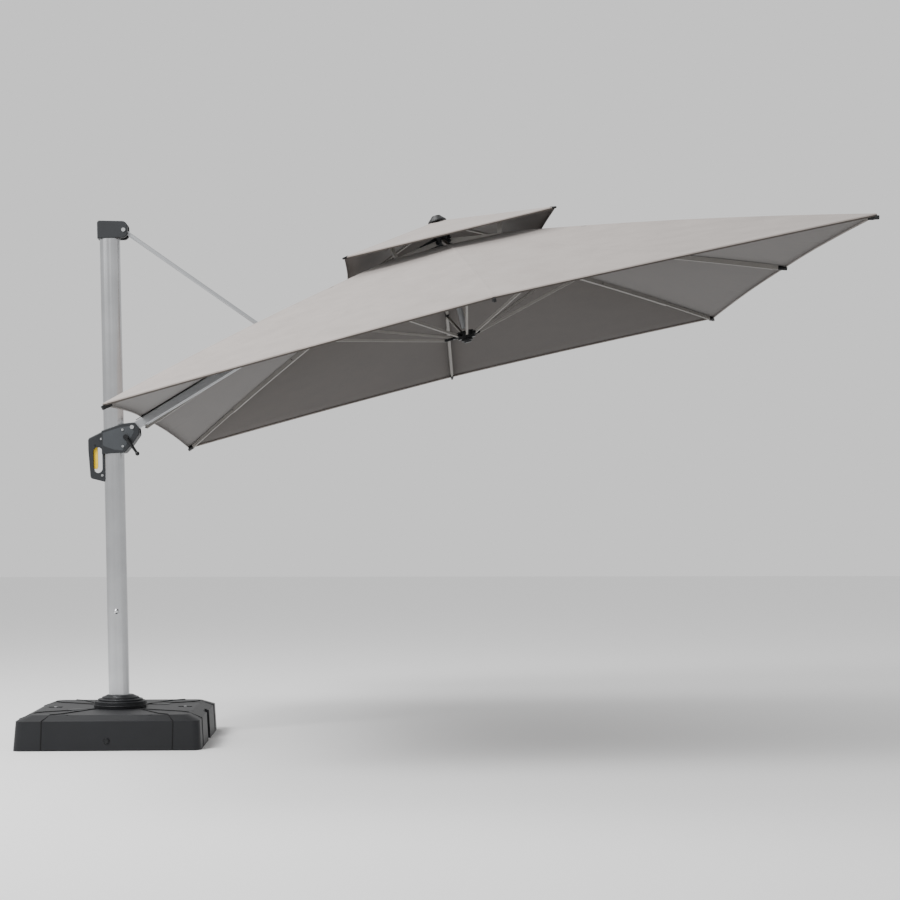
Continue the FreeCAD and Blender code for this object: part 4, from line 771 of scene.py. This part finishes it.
# %% Clamps where the braces take hold of the ribs
BRACE_AT = {"corner": 0.769, "middle": 0.775, "west": 0.7775}  # along the rib
CLAMP = (0.034, 0.019, 0.030)
CLAMP_ROUND, CLAMP_DROP = 0.003, 0.002

for own in rib_lines:
    at = BRACE_AT["corner" if own.corner else "west" if own.west else "middle"]
    place = canopy @ own.frame @ Matrix.Translation((at, 0, own.rise(at) - CLAMP_DROP))
    block = block_in(place, Vector(), CLAMP, CLAMP_ROUND)
    clamp = new_piece("brace_clamp_" + own.name, block, fitting_plastic)
    smooth(clamp, TRIM_SHARP)
    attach(clamp, "rib_" + own.name)

# %% [markdown]
# ## Vent tips
# The vent's flat ribs end in small moulded caps. Each is the same tapered block, laid at the slope
# of the vent's corner, because a cap that lay level would stand away from the cloth.

# %% Vent tips
VENT_TIP = (0.026, 0.019, 0.011)
VENT_TIP_ROUND, VENT_TIP_TAPER = 0.0022, 0.8
VENT_TIP_BACK, VENT_TIP_DROP = 0.008, 0.004

for own in rib_lines[1::2]:
    out = VENT_HALF * math.sqrt(2)
    slope = Matrix.Rotation(math.atan2(VENT_NECK_HIGH - VENT_CORNER_HIGH, vent_long), 4, "Y")
    corner = Matrix.Translation((out, 0, VENT_CORNER_HIGH - VENT_TIP_DROP))
    shape = block_in(canopy @ own.turn @ corner @ slope, Vector((-VENT_TIP_BACK, 0, 0)), VENT_TIP,
                     VENT_TIP_ROUND, VENT_TIP_TAPER)
    cap = new_piece("vent_tip_" + own.name, shape, fitting_plastic)
    smooth(cap, TRIM_SHARP)
    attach(cap, "rib_" + own.name)

# %% [markdown]
# ## Screws on the housing
# The two halves of the housing are held by bright cross-head screws. The cross could be cut out
# of the head with a boolean, but at a few millimetres two thin dark bars on a low dome look the
# same and keep the mesh clean; the bars are painted shade, standing for the shadow in the recess.
# The lever's pin shows as a plain dark dome on each side.

# %% Housing screws
SCREW_SPOTS = [(-0.0554, -0.0488), (0.0458, -0.0112), (0.046, -0.0866), (-0.0533, -0.2158)]
GRIP_FROM = -0.05  # screws further out than this hold the thin grip
SCREW_RADIUS, SCREW_HIGH = 0.0052, 0.0022
CROSS_LONG, CROSS_WIDE, CROSS_THICK = 1.1 * SCREW_RADIUS, 0.0011, 0.0006
CROSS_ROUND, CROSS_HIGH = 0.0002, 0.0021
GRIP_HALF, HOUSING_HALF, PANEL_THICK = 0.017, 0.044, 0.0025
LEVER_PIN = (-0.084, -0.078)
PIN_RADIUS, PIN_HIGH = 0.0045, 0.0012


def screw_in(place):
    """A screw's head, and the two dark bars of painted shade that stand for its cross recess."""
    head = dome_in(place, SCREW_RADIUS, SCREW_HIGH)
    cross = [block_in(place, Vector((0, 0, CROSS_HIGH)), dims, CROSS_ROUND)
             for dims in ((CROSS_LONG, CROSS_WIDE, CROSS_THICK), (CROSS_WIDE, CROSS_LONG, CROSS_THICK))]
    return head, cross


bright, dark = [], []
for x, z in SCREW_SPOTS:
    half = GRIP_HALF if x < GRIP_FROM else HOUSING_HALF + PANEL_THICK
    for side in (-1, 1):
        head, cross = screw_in(side_face(slider, x, half, z, side))
        bright.append(head)
        # the cross bars are painted shade for the recess of each screw
        dark += cross
for side in (-1, 1):
    dark.append(dome_in(side_face(slider, LEVER_PIN[0], GRIP_HALF, LEVER_PIN[1], side), PIN_RADIUS, PIN_HIGH))
for name, shapes, material, slot in (("housing_screws", bright, bolt_metal, "bright_steel"),
                                     ("housing_screw_recess_shade_and_lever_pins", dark, fitting_plastic, "black_plastic")):
    piece = new_piece(name, join(shapes), material)
    smooth(piece, HEAD_SHARP)
    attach(piece, "slider")

# %% [markdown]
# ## Dark beads in the tank's joints
# The tank's skin is divided into panels by narrow grooved joints, and a dark bead of painted shade
# sits in each, standing for the shadow down in the groove. The joints climb the side, cross the
# bevelled rim and run in towards the mast. A bead could be a row of thin boxes, but a curve with a
# round bevel turns the corners by itself. One side's two paths are listed, and turned to the other three
# sides.

# %% Dark beads of painted shade in the tank's joints
TANK_HALF, TANK_RIM, TANK_CROWN = 0.403, 0.126, 0.148  # half width, heights of rim and top
TANK_DRAFT, TANK_BEVEL = 0.008, 0.062                  # lean of the side, width of the bevel
PANEL_HALF, PANEL_BEND, BEND_OUT, PANEL_ROOT = 0.281, 0.212, 0.300, 0.096
BEVEL_IN = 0.028                                       # how far a joint runs in across the bevel
BEAD_FOOT, BEAD_SUNK = 0.004, 0.001                    # its lower end: height, and depth
BEAD_RADIUS, BEAD_PROUD = 0.0030, 0.0006

bead_curve = bpy.data.curves.new("tank_groove_shade_beads", "CURVE")
bead_curve.dimensions = "3D"
bead_curve.bevel_depth = BEAD_RADIUS
bead_curve.bevel_resolution = 2
bead_curve.resolution_u = 3
rim_half = TANK_HALF - TANK_DRAFT
for quarter in range(4):
    turn = Matrix.Rotation(math.pi / 2 * quarter, 3, "Z")
    for side in (-1, 1):
        path = [(side * PANEL_HALF, -TANK_HALF + BEAD_SUNK, BEAD_FOOT),
                (side * PANEL_HALF, -rim_half, TANK_RIM),
                (side * (PANEL_HALF - BEVEL_IN), -rim_half + TANK_BEVEL, TANK_CROWN),
                (side * PANEL_BEND, -BEND_OUT, TANK_CROWN), (side * PANEL_ROOT, -PANEL_ROOT, TANK_CROWN)]
        bead = bead_curve.splines.new("POLY")
        bead.points.add(len(path) - 1)
        for point, place in zip(bead.points, path):
            point.co = (*(turn @ Vector(place) + Vector((0, 0, BEAD_PROUD))), 1)
bead_line = bpy.data.objects.new("tank_groove_shade_beads", bead_curve)
beads = bpy.data.objects.new("tank_groove_shade_beads", bpy.data.meshes.new_from_object(bead_line))
bpy.data.objects.remove(bead_line)
bpy.context.collection.objects.link(beads)
beads.data.materials.append(groove_shade_black)
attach(beads, "base")

# %% [markdown]
# ## Ridges on the foot cover
# The cover over the turning joint is moulded in steps, each with a round ridge. A torus primitive
# would do, but a small circle spun round the mast shows how such a turned shape comes about.

# %% Foot cover ridges
RIDGES = [(0.1165, 0.1595, 0.0035), (0.1135, 0.1745, 0.003),
          (0.098, 0.1835, 0.003), (0.080, 0.1925, 0.003)]  # radius, height, half thickness
RIDGE_SIDES, RIDGE_STEPS = 10, 96

ridge_shapes = []
for radius, height, thick in RIDGES:
    ring = bmesh.new()
    bmesh.ops.create_circle(ring, radius=thick, segments=RIDGE_SIDES)
    bmesh.ops.rotate(ring, verts=ring.verts, matrix=Matrix.Rotation(math.pi / 2, 3, "X"))
    bmesh.ops.translate(ring, verts=ring.verts, vec=(radius, 0, height))
    bmesh.ops.spin(ring, geom=ring.verts[:] + ring.edges[:], axis=(0, 0, 1), cent=(0, 0, 0),
                   angle=2 * math.pi, steps=RIDGE_STEPS, use_merge=True)
    bmesh.ops.recalc_face_normals(ring, faces=ring.faces)
    ridge_shapes.append(ring)
ridges = new_piece("foot_cover_ridges", join(ridge_shapes), tank_plastic)
smooth(ridges)
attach(ridges, "mast")

# %% [markdown]
# ## Light and floor
# A pale floor and large soft lights, as in a studio: the main one is high in front and to the
# left, and a weaker one is overhead. Small lamps would cut hard shadows, so both are wide squares,
# and a pale world fills the shade under the canopy without washing it out.

# %% Floor and lights
FLOOR_HALF = 30
KEY_AT, KEY_WIDE, KEY_WATTS = (-2.6, -3.0, 5.0), 2.2, 430
TOP_AT, TOP_WIDE, TOP_WATTS = (-0.6, 0.5, 6.0), 2.4, 130
WORLD_STRENGTH = 1.0

floor_shape = bmesh.new()
bmesh.ops.create_grid(floor_shape, x_segments=1, y_segments=1, size=FLOOR_HALF)
floor_material, floor_shader = new_finish("studio_floor_pale", 0.9)
floor_shader.inputs["Base Color"].default_value = linear("#EFEFEF")
floor = new_piece("studio_floor", floor_shape, floor_material)


def soft_light(name, at, towards, wide, watts):
    """A wide square lamp that shines towards a point."""
    data = bpy.data.lights.new(name, "AREA")
    data.shape = "SQUARE"
    data.size = wide
    data.energy = watts
    lamp = bpy.data.objects.new(name, data)
    lamp.location = at
    lamp.rotation_euler = (Vector(towards) - Vector(at)).to_track_quat("-Z", "Y").to_euler()
    bpy.context.collection.objects.link(lamp)


soft_light("key", KEY_AT, (0.4, 0, 1.7), KEY_WIDE, KEY_WATTS)
soft_light("top", TOP_AT, (0.4, 0, 1.5), TOP_WIDE, TOP_WATTS)
world = bpy.data.worlds.new("studio")
world.use_nodes = True
world.node_tree.nodes["Background"].inputs["Color"].default_value = linear("#F4F4F4")
world.node_tree.nodes["Background"].inputs["Strength"].default_value = WORLD_STRENGTH
bpy.context.scene.world = world
